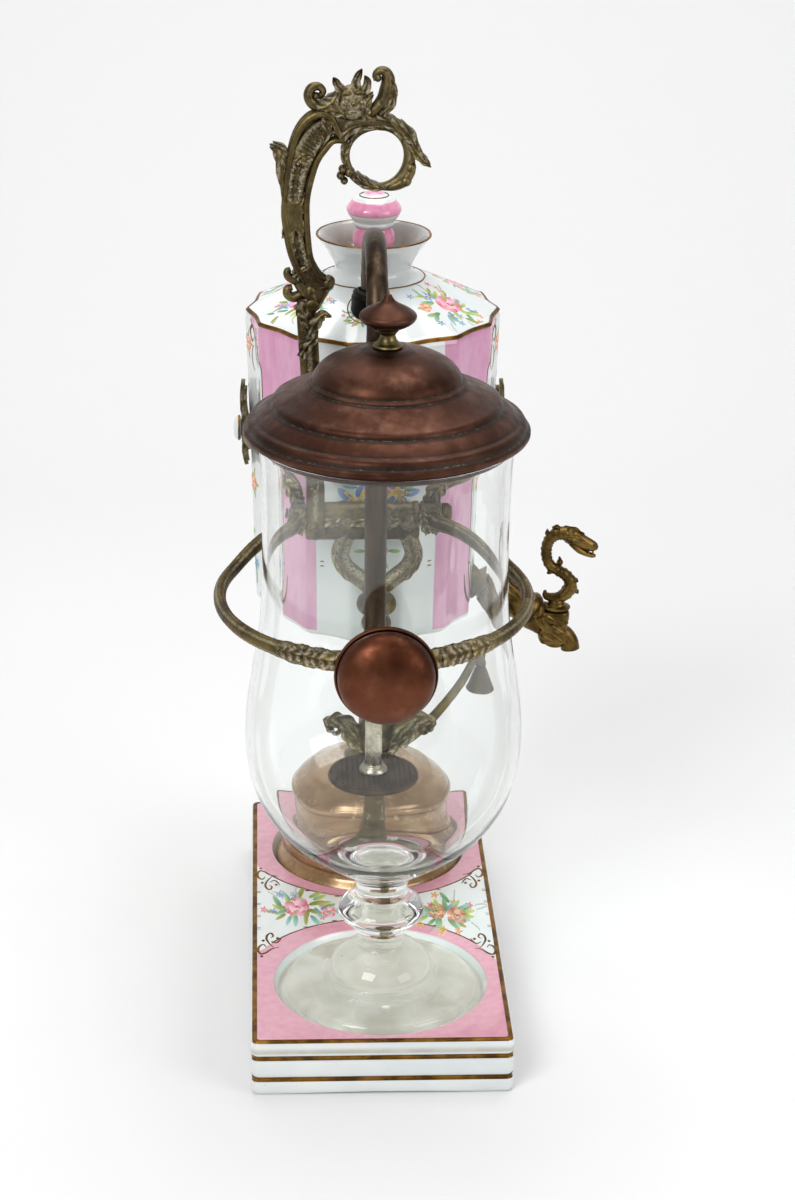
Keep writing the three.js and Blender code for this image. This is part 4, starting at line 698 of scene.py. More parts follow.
def flourish(form, x, y, side, flip):
    """Opposed curls and drops at an end of each arc, drawn for the left and mirrored for the right."""
    def place(points):
        return [Vector((x - side * px, y + flip * py, TOP)) for px, py in points]

    curls = ([(6, -3), (2.4, -4.6), (-0.6, -8.4), (-3, -9.4), (-4.4, -6), (-3.6, -1.6), (-1.6, 0),
        (-0.4, -2.6)], [(3.4, -3), (1.2, 1), (-0.2, 6), (0.4, 10), (2.2, 11.6), (3.2, 8.6), (2, 6.8)],
        [(2.2, 3.4), (4.4, 1.6), (6, 3.2), (7.4, 7)])
    for points, width in zip(curls, (1.6, 1.4, 1.1)):
        gilt_line(form, curve_through(place(points), 6), width, UP, taper=True)
    for px, py in ((-1.8, 4), (5.4, 6.4), (-2.6, -12)):
        form.lump(place([(px, py)])[0], (0.8, 1.1, 0.18), 12)


for side in (-1, 1):
    flourish(gilding, (55.4 if side > 0 else -54.6), -36 if side < 0 else -39, side, 1)
    flourish(gilding, side * 55, 34, side, -1)
    for y in (-20, -7, 6, 19):
        for step in (0, 1.6):
            gilt_line(gilding, [(side * 57.6, y + step, TOP), (side * 60.4, y + step * 0.7, TOP)], 0.8,
                UP, taper=True)
    for angle in (16, 30):
        for centre, sign in ((FRONT_ARC, 1), (REAR_ARC, -1)):
            a = math.radians(90 - side * angle) * sign
            p = Vector((centre[0] + (centre[2] + 0.9) * math.cos(a),
                centre[1] + (centre[2] + 0.9) * math.sin(a), TOP))
            gilding.lump(p, (1.6, 0.5, 0.2), 12)
gilding.made("plinth_gilding", "stand", burnished_gilding, "porcelain")


class Painting:
    """Brush strokes on a surface; surface(u, v) gives a point and the way out of the glaze there."""

    def __init__(self, surface, seed):
        self.form, self.surface, self.chance = Form(), surface, random.Random(seed)

    def stroke(self, u, v, length, width, angle, colour, tip=None):
        """One loaded-brush stroke: a drop shape, darker where the brush was set down."""
        root, end = linear(colour), linear(tip or colour)
        cosine, sine = math.cos(angle), math.sin(angle)
        rows = []
        for i in range(7):
            t = i / 6
            half = width / 2 * math.sin(math.pi * (0.08 + 0.86 * t)) ** 0.8
            cells = []
            for j in (-1, -0.5, 0, 0.5, 1):
                a, b = (t - 0.5) * length, j * half
                point, out = self.surface(u + a * cosine - b * sine, v + a * sine + b * cosine)
                lift = 0.05 + 0.13 * (1 - abs(j)) - (0.22 if abs(j) == 1 or i in (0, 6) else 0)
                share = min(1, t + 0.25 * abs(j))
                paint = tuple(between(root[k], end[k], share) for k in range(3)) + (1.0,)
                cells.append((point + out * lift, paint))
            rows.append(self.form.ring([p for p, _ in cells], [m for _, m in cells]))
        for a, b in zip(rows, rows[1:]):
            for i in range(4):
                self.form.faces.append((a[i], a[i + 1], b[i + 1], b[i]))

    def leaf(self, u, v, length, angle, greens=("#5d8a4e", "#9bbd6e")):
        self.stroke(u, v, length, length * 0.42, angle, *greens)
        cosine, sine = math.cos(angle), math.sin(angle)
        self.stroke(u - 0.1 * length * cosine, v - 0.1 * length * sine, length * 0.8, length * 0.07, angle,
            "#3f6a3a")

    def rose(self, u, v, size, pale="#efc0cb", deep="#c8506f"):
        """A cabbage rose: outer petals, then a turning heart."""
        rand = self.chance
        for ring, (count, reach, long, wide) in enumerate(((7, 0.62, 0.72, 0.6), (6, 0.4, 0.55, 0.5),
            (4, 0.17, 0.4, 0.36))):
            for k in range(count):
                a = 2 * math.pi * (k + 0.5 * ring) / count + rand.uniform(-0.2, 0.2)
                mix = (deep, pale) if (k + ring) % 2 else (pale, deep if ring == 0 else pale)
                self.stroke(u + size * reach * math.cos(a), v + size * reach * math.sin(a), size * long,
                    size * wide, a + math.pi / 2, *mix)
        self.stroke(u, v, size * 0.3, size * 0.22, 0.4, deep, "#8e2f4b")

    def blossom(self, u, v, size, colours, heart="#e0b13c"):
        """Five round petals about a heart."""
        for petal in angles(5):
            a = petal + self.chance.uniform(-0.15, 0.15)
            self.stroke(u + size * 0.5 * math.cos(a), v + size * 0.5 * math.sin(a), size * 0.8,
                size * 0.55, a, *colours)
        self.stroke(u, v, size * 0.34, size * 0.34, 0, heart)

    def sprig(self, u, v, length, angle, colour="#7d9a86", buds="#d98aa0"):
        """A thin bowed stem with tiny leaves and a bud."""
        rand = self.chance
        bend = rand.uniform(-0.5, 0.5)
        for k in range(5):
            t = k / 5
            a = angle + bend * t
            pu, pv = u + length * t * math.cos(a), v + length * t * math.sin(a)
            self.stroke(pu, pv, length * 0.26, length * 0.035 + 0.14, a, colour)
            self.stroke(pu + 0.09 * length * math.cos(a + 1), pv + 0.09 * length * math.sin(a + 1),
                length * 0.18, length * 0.08, a + rand.choice((-1, 1)) * 0.9, colour, "#b4c9a2")
        self.stroke(u + length * math.cos(angle + bend), v + length * math.sin(angle + bend),
            length * 0.16, length * 0.12, angle, buds)

    def made(self, name, body):
        return self.form.made(name, body, flower_enamel, "porcelain", angle=80)


def plinth_top(u, v):
    """The bouquets on the plinth are drawn long in depth, as they are seen at a low angle."""
    return Vector((u, 1.75 * v, PLINTH_HEIGHT)), Vector((0, 0, 1))


GREENS = (("#3f7a55", "#8fb98a"), ("#7b9a3f", "#c3cf7c"), ("#4c8f8a", "#a5d0c4"), ("#6b7a35", "#a9ac5c"))


def spray(paint, u, v, reach, flat, roses, small):
    """A packed bouquet: roses in the middle, leaves round them, then small flowers and stems."""
    rand = paint.chance
    for k in range(26):
        a = 2 * math.pi * k / 26 + rand.uniform(-0.2, 0.2)
        d = reach * rand.uniform(0.34, 0.74)
        turn = a + rand.uniform(-0.6, 0.6)
        paint.leaf(u + d * math.cos(a), v + flat * d * math.sin(a), reach * rand.uniform(0.28, 0.42),
            turn, rand.choice(GREENS))
    for k in range(6):
        a = rand.uniform(0, 2 * math.pi)
        d = reach * rand.uniform(0.6, 0.8)
        paint.sprig(u + d * math.cos(a), v + flat * d * math.sin(a), reach * 0.24, a,
            rand.choice(("#7fa39a", "#8aa86d")))
    for k in range(13):
        a = rand.uniform(0, 2 * math.pi)
        d = reach * rand.uniform(0.45, 0.9)
        paint.blossom(u + d * math.cos(a), v + flat * d * math.sin(a), reach * 0.115, rand.choice(small))
    for x, y, size, pale, deep in roses:
        paint.rose(u + x * reach, v + y * reach, size * reach, pale, deep)


BLUES, REDS, ORANGES = ("#5f7fc0", "#b5c8e6"), ("#c9506b", "#eba0b0"), ("#d8763a", "#f0b06a")
flowers = Painting(plinth_top, 5)
left_roses = ((-0.1, 0.02, 0.36, "#f0c3cf", "#c8506f"), (0.66, -0.12, 0.2, "#f2c4ce", "#cf4f6f"))
right_roses = ((-0.2, 0.06, 0.27, "#e0b48c", "#a8503a"), (0.26, -0.06, 0.3, "#e3b08a", "#9c3a30"),
    (-0.62, -0.02, 0.18, "#eec3a8", "#b6543c"))
spray(flowers, -37, 1.5, 22, 0.56, left_roses, (BLUES, REDS, ("#6fa8b8", "#bfe0e4")))
spray(flowers, 37, -3, 23, 0.58, right_roses, (ORANGES, ("#c08a3a", "#e6c98a"), REDS))
flowers.made("plinth_flowers", "stand")

# Column, head and axle

column = Form().turned(softened([(0, 3.4), (4.8, 3.4), (4.8, 29.2), (11, 29.2), (11, 31.4), (9.6, 32.8),
    (7.4, 35), (6.2, 39), (5.9, 43), (5.2, 109), (7.6, 112), (7.6, 114), (5.2, 114.6), (5.2, 179),
    (6.8, 182), (6.4, 185), (0, 185)], 1.2), 48)
column.made("bronze_column", "stand", antique_bronze, "bronze", ["column_stem"])

head = Form()
head.turned(softened([(0, 185.4), (5.6, 185.4), (7.4, 187.2), (7.7, 190), (6.6, 192.4), (5.4, 193.8),
    (7.6, 195), (9.8, 197.2), (10.3, 199.6), (9.4, 202.4), (6.8, 204.6), (5.5, 206), (5.2, 210),
    (0, 210.4)], 1.2), 40)
for side in (-1, 1):
    tine = curve_through([(0, 0, 205.5), (side * 8.3, 0, 212.5), (side * 15.6, 0, 218.4),
        (side * 18.6, 0, 225), (side * 17.2, 0, 231), (side * 14.6, 0, 239)], 8)

    def tine_section(t):
        wide = along((4.2, 4.4, 4.7, 5.0, 4.8, 5.0), t)
        out = []
        for a in angles(20):
            rib = 0.35 * math.cos(3 * a) ** 2
            out.append(((wide - rib) * math.cos(a), (4.6 - rib) * math.sin(a),
                0.2 + 0.5 * abs(math.sin(2 * a))))
        return out

    head.swept(tine, tine_section, (0, 1, 0))
    acanthus(head, [(side * 10, -2.4, 213), (side * 16, -3.2, 217), (side * 20.4, -3, 224),
        (side * 20.8, -2, 231.6)], 5.4, 2.4, (0, -1, 0.1), 4)
    head.lump((side * 6.4, -2.4, 209.4), (2.4, 2.2, 2.6), 16, mark=0.3)
X_AXIS = Matrix.Rotation(math.pi / 2, 4, "Y")
bar = softened([(0, -37), (3.6, -37), (4.4, -36), (4.4, -16), (4.9, -13), (4.4, -10), (4.4, 10),
    (4.9, 13.5), (4.4, 17), (4.4, 20), (3.6, 21.2), (0, 21.2)], 0.8)
head.turned(bar, 32, Matrix.Translation((0, 0, 237.7)) @ X_AXIS)
barrel = softened([(2.7, -37), (4.9, -37), (5.6, -36), (5.6, -34.6), (4.9, -33.6), (5.2, -31), (5.4, -20),
    (5.9, -17), (5.4, -14), (5.2, 2), (5.8, 4.4), (5.2, 7), (5.4, 15), (4.9, 17.4), (5.6, 18.4),
    (5.6, 20.2), (4.9, 21.2), (2.7, 21.2)], 0.8)
head.turned(barrel, 36, Matrix.Translation((0, 0, AXLE_Z)) @ X_AXIS, 0.25)
head.swept([(-37, 0, 242), (-20, 0, 242), (0, 0, 242), (21.2, 0, 242)],
    lambda t: [(3.4, -4.5, 0.5), (3.4, 4.5, 0.5), (-3.4, 4.5, 0.5), (-3.4, -4.5, 0.5)], (0, 0, 1))
for x, size in ((-16, 4.2), (5.6, 4.4), (15.2, 5.0), (-33, 3.6)):
    head.lump((x, -1.6, 243.6), (size, 4.6, size * 1.3), 20, mark=0.35)
for x in (-25, -7, 10):
    acanthus(head, [(x - 7, -4.2, 243), (x - 2, -5, 244), (x + 4, -5, 245.6), (x + 8, -4.4, 248.6)], 5,
        1.8, (0, -1, 0.3), 3)
head.made("heart_fork", "stand", antique_bronze, "bronze", ["column_head"])


def screw(name, body, radius, depth, point, direction, nodes, finish=antique_bronze, slot="bronze",
    shank=None):
    """A cheese-headed screw with a domed top and a filed slot; its shank runs back from the head."""
    profile = softened([(0, 0), (radius, 0), (radius, depth * 0.6), (radius * 0.7, depth * 0.95),
        (0, depth)], 0.35)
    form = Form().turned(profile, 28, towards(point, direction))
    if shank:
        form.turned(softened([(0, -shank[1]), (shank[0], -shank[1] + 0.3), (shank[0], 0.2), (0, 0.2)],
            0.3), 20, towards(point, direction))
    made = form.made(name, body, finish, slot, nodes)
    groove = Form()
    aim = towards(point, direction)
    reach, half = radius * 1.2, radius * 0.13
    section = [(half, -0.5, 0), (half, 1, 0), (-half, 1, 0), (-half, -0.5, 0)]
    groove.swept([aim @ Vector((-reach, 0, depth)), aim @ Vector((reach, 0, depth))], lambda t: section,
        aim.to_3x3() @ Vector((0, 0, 1)))
    carve(made, [groove])
    return made


screw("axle_screw", "stand", 4.4, 2.0, (-46, 0, AXLE_Z), (-1, 0, 0), ["axle_pin"], shank=(2.5, 82.6))
screw("axle_end", "stand", 4.6, 5.2, (32.8, 0, AXLE_Z), (1, 0, 0), ["axle_nut"])

# Leaf bracket and snuffer

bracket = Form().turned(softened([(5.45, 121.2), (8.4, 121.2), (9.4, 124), (8.6, 127), (7.6, 129),
    (8.4, 133), (7.2, 135.8), (5.45, 135.8)], 0.8), 40)
for side, reach in ((1, 29), (-1, 24)):
    acanthus(bracket, [(side * 5.5, -1, 122.5), (side * reach * 0.42, -1.4, 130),
        (side * reach * 0.74, -1.2, 135.6), (side * reach * 0.97, -0.6, 135), (side * reach, 0, 129.5)],
        12, 4.4, (side * -0.35, -0.3, 1), 5, 8)
    acanthus(bracket, [(side * 5.5, -3, 121.6), (side * reach * 0.36, -4.4, 124),
        (side * reach * 0.6, -4.4, 128.6), (side * reach * 0.72, -3, 133)], 8, 3, (0, -1, 0.5), 4, 8)
    bracket.swept(scroll_path((side * (reach - 3.4), 0, 130.6), 3.6, 0.3 if side > 0 else math.pi - 0.3,
        side * 1.1), lambda t: round_section(1.5 - 0.6 * t, 10, 0.2, 1.6), (0, 1, 0))
bracket.made("leaf_bracket_bronze", "stand", antique_bronze, "bronze", ["leaf_bracket"])

PARKED = Matrix.Rotation(math.radians(32.3), 4, "Z")
arm = Form().turned(softened([(5.55, 114.8), (8.2, 114.8), (8.8, 116.2), (8.8, 119.2), (8.2, 120.6),
    (5.55, 120.6)], 0.5), 40)
arm_path = curve_through([(7.4, 0, 117.7), (20, 0, 119.7), (36, 0, 127.7), (54, 0, 142), (66, 0, 155),
    (CONE_REACH, 0, 156.2)], 10)
arm.swept(arm_path, lambda t: round_section(along((3.2, 3, 2.6, 2.4, 2.6), t), 16, 0.15, 0.9))
arm.turned(softened([(0, 150.3), (3.4, 150.3), (3.7, 152), (3, 154), (3.6, 156.4), (3.4, 158.2),
    (1.8, 159.8), (0, 160.3)], 0.6), 28, Matrix.Translation((CONE_REACH, 0, 0)))
arm.moved(PARKED).made("snuffer_lever", "snuffer", antique_bronze, "bronze", ["snuffer_arm"])
cap = Form().turned(softened([(0, 150.2), (2.5, 149.9), (4, 148.6), (6, 144), (8.3, 138.7), (9.2, 137.6),
    (9.1, 136.95), (8.1, 137), (7.4, 138.6), (5, 144.6), (3, 147.4), (0, 147.6)], 0.5), 40,
    Matrix.Translation((CONE_REACH, 0, 0)))
cap.moved(PARKED).made("snuffer_cone", "snuffer", antique_bronze, "bronze", ["snuffer_cap"])

# Lever: open ring, arms and counterweight

RING_X, RING_RADIUS = -4, 71.5


def ring_point(t):
    """The ring from the left knuckle round the front to the right one."""
    left, right = math.acos(-37.5 / RING_RADIUS), math.acos(30.9 / RING_RADIUS)
    angle = between(left, right + 2 * math.pi, t)
    x, y = RING_X + RING_RADIUS * math.cos(angle), -BOILER_Y + RING_RADIUS * math.sin(angle)
    rise = clamped((y + 45) / 39)
    return Vector((x, y, 232 + (y + BOILER_Y) * 0.05 + 9 * rise * rise * (3 - 2 * rise)))


steps = 420
round_path = [ring_point(i / steps) for i in range(steps + 1)]
lead_in = curve_through([(-41.5, 0, 245), (-41.7, -4, 244.6), round_path[4]], 8)[:-1]
lead_out = curve_through([round_path[-5], (27.2, -3, 244.6), (26.9, 0, 245)], 8)[1:]
ring_path = lead_in + round_path[4:-4] + lead_out


def ring_section(t):
    """A moulded bar with two long grooves, heavier and leafy beside the counterweight and at its roots."""
    u = abs(t - 0.5)
    leafy = math.exp(-(((u - 0.085) / 0.042) ** 4))
    root = max(0, 1 - min(t, 1 - t) / 0.05)
    size = 1 + 0.3 * leafy + 0.28 * root
    scale = 0.22 * leafy * math.cos(t * 2 * math.pi * 130) + 0.12 * math.sin(t * 700)
    out = []
    for a in angles(28):
        groove = 0.55 * max(0, math.cos(4 * a + math.pi)) ** 3 * (1 - leafy)
        leafing = leafy * 0.35 * math.cos(5 * a + t * 2 * math.pi * 46)
        across = (2.85 * size - groove + leafing + scale * 0.5) * math.cos(a)
        tall = (3.7 * size - groove + leafing + scale * 0.5) * math.sin(a)
        out.append((across, tall, min(1, groove * 1.5 + max(0, -leafing) * 2 + 0.2 * leafy)))
    return out


ring = Form().swept(ring_path, ring_section)
for x0, x1, x in ((-45.7, -37.3, -41.5), (21.5, 32.3, 26.9)):
    middle, half = (x0 + x1) / 2, (x1 - x0) / 2
    knuckle = softened([(2.7, -half), (5, -half), (5.6, -half + 0.7), (5.6, -half + 2),
        (5.2, -half + 2.6), (5.2, half - 2.6), (5.6, half - 2), (5.6, half - 0.7), (5, half),
        (2.7, half)], 0.3)
    ring.turned(knuckle, 36, Matrix.Translation((middle, 0, AXLE_Z)) @ X_AXIS, 0.2)
    ring.swept([(x, 0.4, AXLE_Z - 1), (x, 0.4, 249), (x, 0.4, 252.3)],
        lambda t: [(4, -4, 0.3), (4, 4, 0.3), (-4, 4, 0.3), (-4, -4, 0.3)], (1, 0, 0))
    for side in (-1, 1):
        acanthus(ring, [(x + side * 1, -4, 238), (x + side * 3, -5.6, 242), (x + side * 4, -5.4, 246.4),
            (x + side * 4.6, -4, 250.6)], 6, 2.2, (0, -1, 0.2), 4)
BACK = Matrix.Rotation(math.pi / 2, 4, "X")
weight_centre = Vector((-1.7, 0, 227))
ring.turned(softened([(2.3, 139.15), (5, 139.15), (5.2, 143.4), (9, 144), (9, 146.85), (2.3, 146.85)],
    0.4), 40, Matrix.Translation(weight_centre) @ BACK)
for side in (-1, 1):
    for k, (start, width) in enumerate(((0.057, 9.5), (0.073, 10.5), (0.092, 10), (0.112, 8))):
        centre = 0.5 + side * start
        points = [ring_point(centre + side * 0.011 * (i - 1)) + Vector((0, -0.6,
            0.9 + 0.4 * math.sin(i * 1.4))) for i in range(4)]
        outward = [(p - Vector((RING_X, -BOILER_Y, p.z))).normalized() for p in points]
        acanthus(ring, [p + way * (2.4 + 0.5 * (k % 2)) for p, way in zip(points, outward)], width * 0.9,
            2.2, outward[1] + Vector((0, 0, 0.35)), 3, 6)
    stop = ring_point(0.5 + side * 0.0585)
    ring.lump(stop, (2.6, 4.6, 5.0), 16, Matrix.Rotation(side * 0.42, 4, "Z"), 0.2)
ring.made("lever_band", "lever", antique_bronze, "bronze", ["lever_ring"])


def weight_form(profile, start, marks=0.0):
    place = Matrix.Translation((weight_centre.x, start, weight_centre.z)) @ BACK
    return Form().turned(profile, 112, place, marks)


cup = softened([(2.3, 0), (17, 0), (19.4, 0.8), (21.5, 2.4), (22.8, 4.4), (23, 6.4), (22.7, 7.05),
    (21.9, 7.05), (21.9, 5.6), (20.4, 3.4), (16.6, 1.2), (2.3, 1.2)], 0.5)
weight_form(cup, -147.15).made("weight_cup", "lever", weight_copper, "copper", ["counterweight_cup"])
dome = [(21.5 * math.cos(math.pi / 2 * i / 22), 2 + 11.5 * math.sin(math.pi / 2 * i / 22))
    for i in range(23)]
cap_profile = [(20.3, 0.0), (21.4, 0.0), (21.7, 0.3), (21.7, 0.75), (21.2, 1.15), (21.15, 1.5),
    (21.45, 1.9)] + dome[1:-1] + [(0, 13.5)]
inside = [(r * 0.947, 0.7 + (z - 2) * 0.93) for r, z in reversed(dome[:-1])]
cap_marks = [0.3, 0.2, 0.1, 0.5, 1, 1, 0.5] + [0.0] * 44
cap_form = weight_form(cap_profile + [(0, 12.3)] + inside[1:], -154.45, cap_marks)
cap_form.made("weight_cap", "lever", weight_copper, "copper", ["counterweight_cap"])


def trunnion_place(side):
    """Places a form turned about Z on a trunnion, with Z out of the boiler."""
    turn = X_AXIS if side > 0 else Matrix.Rotation(-math.pi / 2, 4, "Y")
    return Matrix.Translation((0, BOILER_Y, TRUNNION_Z)) @ turn


def wall_radius(z):
    """The boiler's radius at its creases, which grows from foot to shoulder."""
    return BOILER_RADIUS - WALL_TAPER * (SHOULDER - z) / TAPER_HEIGHT


for side, x, name in ((-1, -41.5, "left"), (1, 26.9, "right")):
    strap = Form()
    path = [Vector((x, 0.4, 254.4)), Vector((x + side * 1.5, 1.8, 258.4)),
        Vector((side * (abs(x) + 5 if side < 0 else 38), 4.4, 262.6)), Vector((side * 48, 8, 266.6))]
    for degrees in range(52, 91, 5):
        a = math.radians(degrees)
        path.append(Vector((side * 64.37 * math.sin(a), BOILER_Y - 64.37 * math.cos(a), 266)))
    path = curve_through(path, 5)

    def strap_section(t, side=side):
        tall = along((4.6, 4.4, 5.4, 5.2, 4.6, 4.4, 4.6, 5.6, 6.4), t)
        thick = along((2.6, 2.4, 2.3, 1.9, 1.6, 1.5, 1.5, 1.5, 1.5), t)
        out = []
        for a in angles(20):
            edge = 1 - 0.22 * max(0, math.cos(2 * a)) ** 2
            out.append((thick * math.cos(a), tall * math.sin(a), 0.25 + 0.3 * max(0, math.cos(6 * a))))
        return out

    strap.swept(path, strap_section)
    plate = softened([(4.3, 62.8), (7.6, 62.8), (8.4, 63.6), (8.4, 65), (7.4, 65.9), (6, 65.6),
        (5.2, 65.97), (4.3, 65.97)], 0.3)
    strap.turned(plate, 48, trunnion_place(side), 0.2)

    def wall_at(dy, dz, lift):
        """A point just outside the boiler at this height, beside the trunnion."""
        r = wall_radius(TRUNNION_Z + dz) + lift
        return Vector((side * math.sqrt(max(r * r - dy * dy, 1)), BOILER_Y + dy, TRUNNION_Z + dz))

    for dy0, dz0, dy1, dz1 in ((0, 7, -1, 26), (0, -7, 1, -20), (-6, 5, -10, 20), (6, 4, 10, 19),
        (-6, -5, -10, -14), (6, -5, 10, -15)):
        bow = 1.6 if dy1 > dy0 else -1.6
        points = [wall_at(between(dy0, dy1, t) + bow * math.sin(math.pi * t), between(dz0, dz1, t),
            2.0 + 0.9 * math.sin(3 * t)) for t in (0, 0.35, 0.7, 1)]
        acanthus(strap, points, 10.4 if dy0 == 0 else 7.6, 3.4, (side, 0, 0), 2, 6)
    acanthus(strap, [(x, -1.4, 253), (x + side * 2, -2.4, 257), (x + side * 6, -0.4, 260.6),
        (x + side * 9, 2, 262)], 9, 2.6, (0, -1, 0.6), 4)
    strap.lump((x, 0.4, 253.6), (4.3, 4.0, 1.3), 20, mark=0.2)
    strap.made(name + "_strap", "lever", antique_bronze, "bronze", [name + "_boiler_arm"])

# Boiler

HALF_PANEL = math.pi / PANELS
SIDES = PANELS * 16
CREASED = [-HALF_PANEL + 2 * math.pi * i / SIDES for i in range(SIDES)]


def flute(radius, depth, angle):
    """The boiler's radius at an angle from the front: chords between the creases, each a little hollow."""
    t = ((angle + HALF_PANEL) / (2 * HALF_PANEL)) % 1
    chord = math.cos(HALF_PANEL) / math.cos((t - 0.5) * 2 * HALF_PANEL)
    sink = 1.1 * radius / BOILER_RADIUS * math.sin(math.pi * t) ** 2
    return radius * between(1, chord, depth) - sink * depth


def boiler_point(radius, z, depth, angle, lift=0.0):
    r = flute(radius, depth, angle) + lift
    return Vector((r * math.sin(angle), BOILER_Y - r * math.cos(angle), z))


def fluted(form, profile):
    """Rings round the boiler's axis along a profile of radius, height and depth of the panels."""
    rings = []
    for r, z, depth in profile:
        if r < 0.01:
            rings.append(form.ring([(0, BOILER_Y, z)]))
        else:
            rings.append(form.ring([boiler_point(r, z, depth, a) for a in CREASED]))
    for a, b in zip(rings, rings[1:] + rings[:1]):
        form.join(a, b)


wall = softened([(0, 173.6, 1), (40, 173.4, 1), (48, 172.3, 1), (54.8, 172, 1), (58.8, 174.6, 1),
    (63.4, 325, 1), (62.2, 328.6, 1), (60.5, 329.6, 0.97)], 1.3, 4)
upper = curve_through([(60.5, 329.6, 0.97), (52, 333.6, 0.85), (38, 340, 0.6), (27, 344.8, 0.2),
    (21.5, 346.9, 0.1), (19.3, 349.4, 0.05), (19.9, 353, 0), (23.2, 359, 0), (26.4, 363.4, 0),
    (28.2, 366.3, 0)], 7)
funnel = curve_through([(27.6, 366.6, 0), (25.8, 365.4, 0), (22.4, 361.6, 0), (17.4, 356.8, 0),
    (11.8, 353.4, 0), (10.5, 348, 0)], 6)
within = [(10.5, 342.5, 0), (18.5, 339.6, 0), (38, 336.4, 0.5), (57.4, 324.4, 0.8), (59.8, 319, 1),
    (55.2, 180, 1), (49.8, 176.2, 1), (0, 176.2, 1)]
boiler = Form()
fluted(boiler, wall[:-1] + upper + funnel + within)
boiler = boiler.made("porcelain_boiler", "boiler", boiler_glaze, "porcelain", ["boiler_body"], 50)
BOILER_AXIS = Matrix.Translation((0, BOILER_Y, 0))
PIPE_INLET = Matrix.Translation((PIPE_X, PIPE_REAR, 0))
PIPE_OUTLET = Matrix.Translation((PIPE_X, PIPE_FRONT, 0))
ferrule_bore = Form().turned([(0, 320), (9.9, 320), (9.9, 360), (0, 360)], 48,
    PIPE_INLET)
tap_root = Vector((58.26, 68, 187.5))
tap_aim = Vector((0.7749, -0.1932, -0.6018))
tap_bore = Form().turned([(0, -16), (5.3, -16), (5.3, 4), (0, 4)], 32, towards(tap_root, tap_aim))
carve(boiler, [ferrule_bore, tap_bore])


def wall_surface(u, v):
    """The wall with u in millimetres round from the front and v as height."""
    radius = wall_radius(v)
    angle = u / radius
    here = boiler_point(radius, v, 1, angle)
    step = 0.01
    round_way = boiler_point(radius, v, 1, angle + step) - boiler_point(radius, v, 1, angle - step)
    return here, round_way.cross(Vector((0, 0, 1))).normalized()


def shoulder_surface(u, v):
    """The shoulder, with u across and v in depth, seen from above, in millimetres from the boiler's axis."""
    radius = math.hypot(u, v)
    angle = math.atan2(u, -v)
    row = [(21.5, 346.9, 0.1), (27, 344.8, 0.2), (38, 340, 0.6), (52, 333.6, 0.85), (60.5, 329.6, 0.97)]
    r = min(max(radius, row[0][0]), 60.4)
    for (r0, z0, depth0), (r1, z1, depth1) in zip(row, row[1:]):
        if r <= r1:
            t = (r - r0) / (r1 - r0)
            height, depth = between(z0, z1, t), between(depth0, depth1, t)
            break
    real = flute(r, depth, angle)
    point = Vector((real * math.sin(angle), BOILER_Y - real * math.cos(angle), height))
    return point, Vector((0.38 * math.sin(angle), -0.38 * math.cos(angle), 0.92)).normalized()


def leaning(rise):
    """The way up for a line on the boiler: out from its axis, and the more upwards the greater the rise."""
    return lambda t, p: Vector((p.x, p.y - BOILER_Y, rise)).normalized()


def gilt_round(form, radius, z, depth, width, lift, proud, up):
    path = [boiler_point(radius, z, depth, a, lift) for a in CREASED]
    gilt_line(form, path, width, up, proud, True)


gold = Form()
gilt_round(gold, 62.5, 328.3, 1, 2.3, 0.1, 0.4, leaning(60))
gilt_round(gold, 28.0, FUNNEL_RIM, 0, 1.3, 0, 0.3, UP)
gilt_round(gold, 25.6, 345.45, 0.18, 0.9, 0.05, 0.2, leaning(60))


def wall_line(form, points, width, taper=False, smooth=8):
    """A gilt line on the boiler's wall, through points round it and up it."""
    path = []
    for u, v in curve_through(points, smooth):
        here, way = wall_surface(u, v)
        path.append(here + way * 0.03)
    gilt_line(form, path, width, leaning(0), 0.13, False, taper)


def eased(value):
    value = clamped(value)
    return value * value * (3 - 2 * value)


def degrees_to_mm(degrees, z):
    return math.radians(degrees) * wall_radius(z)


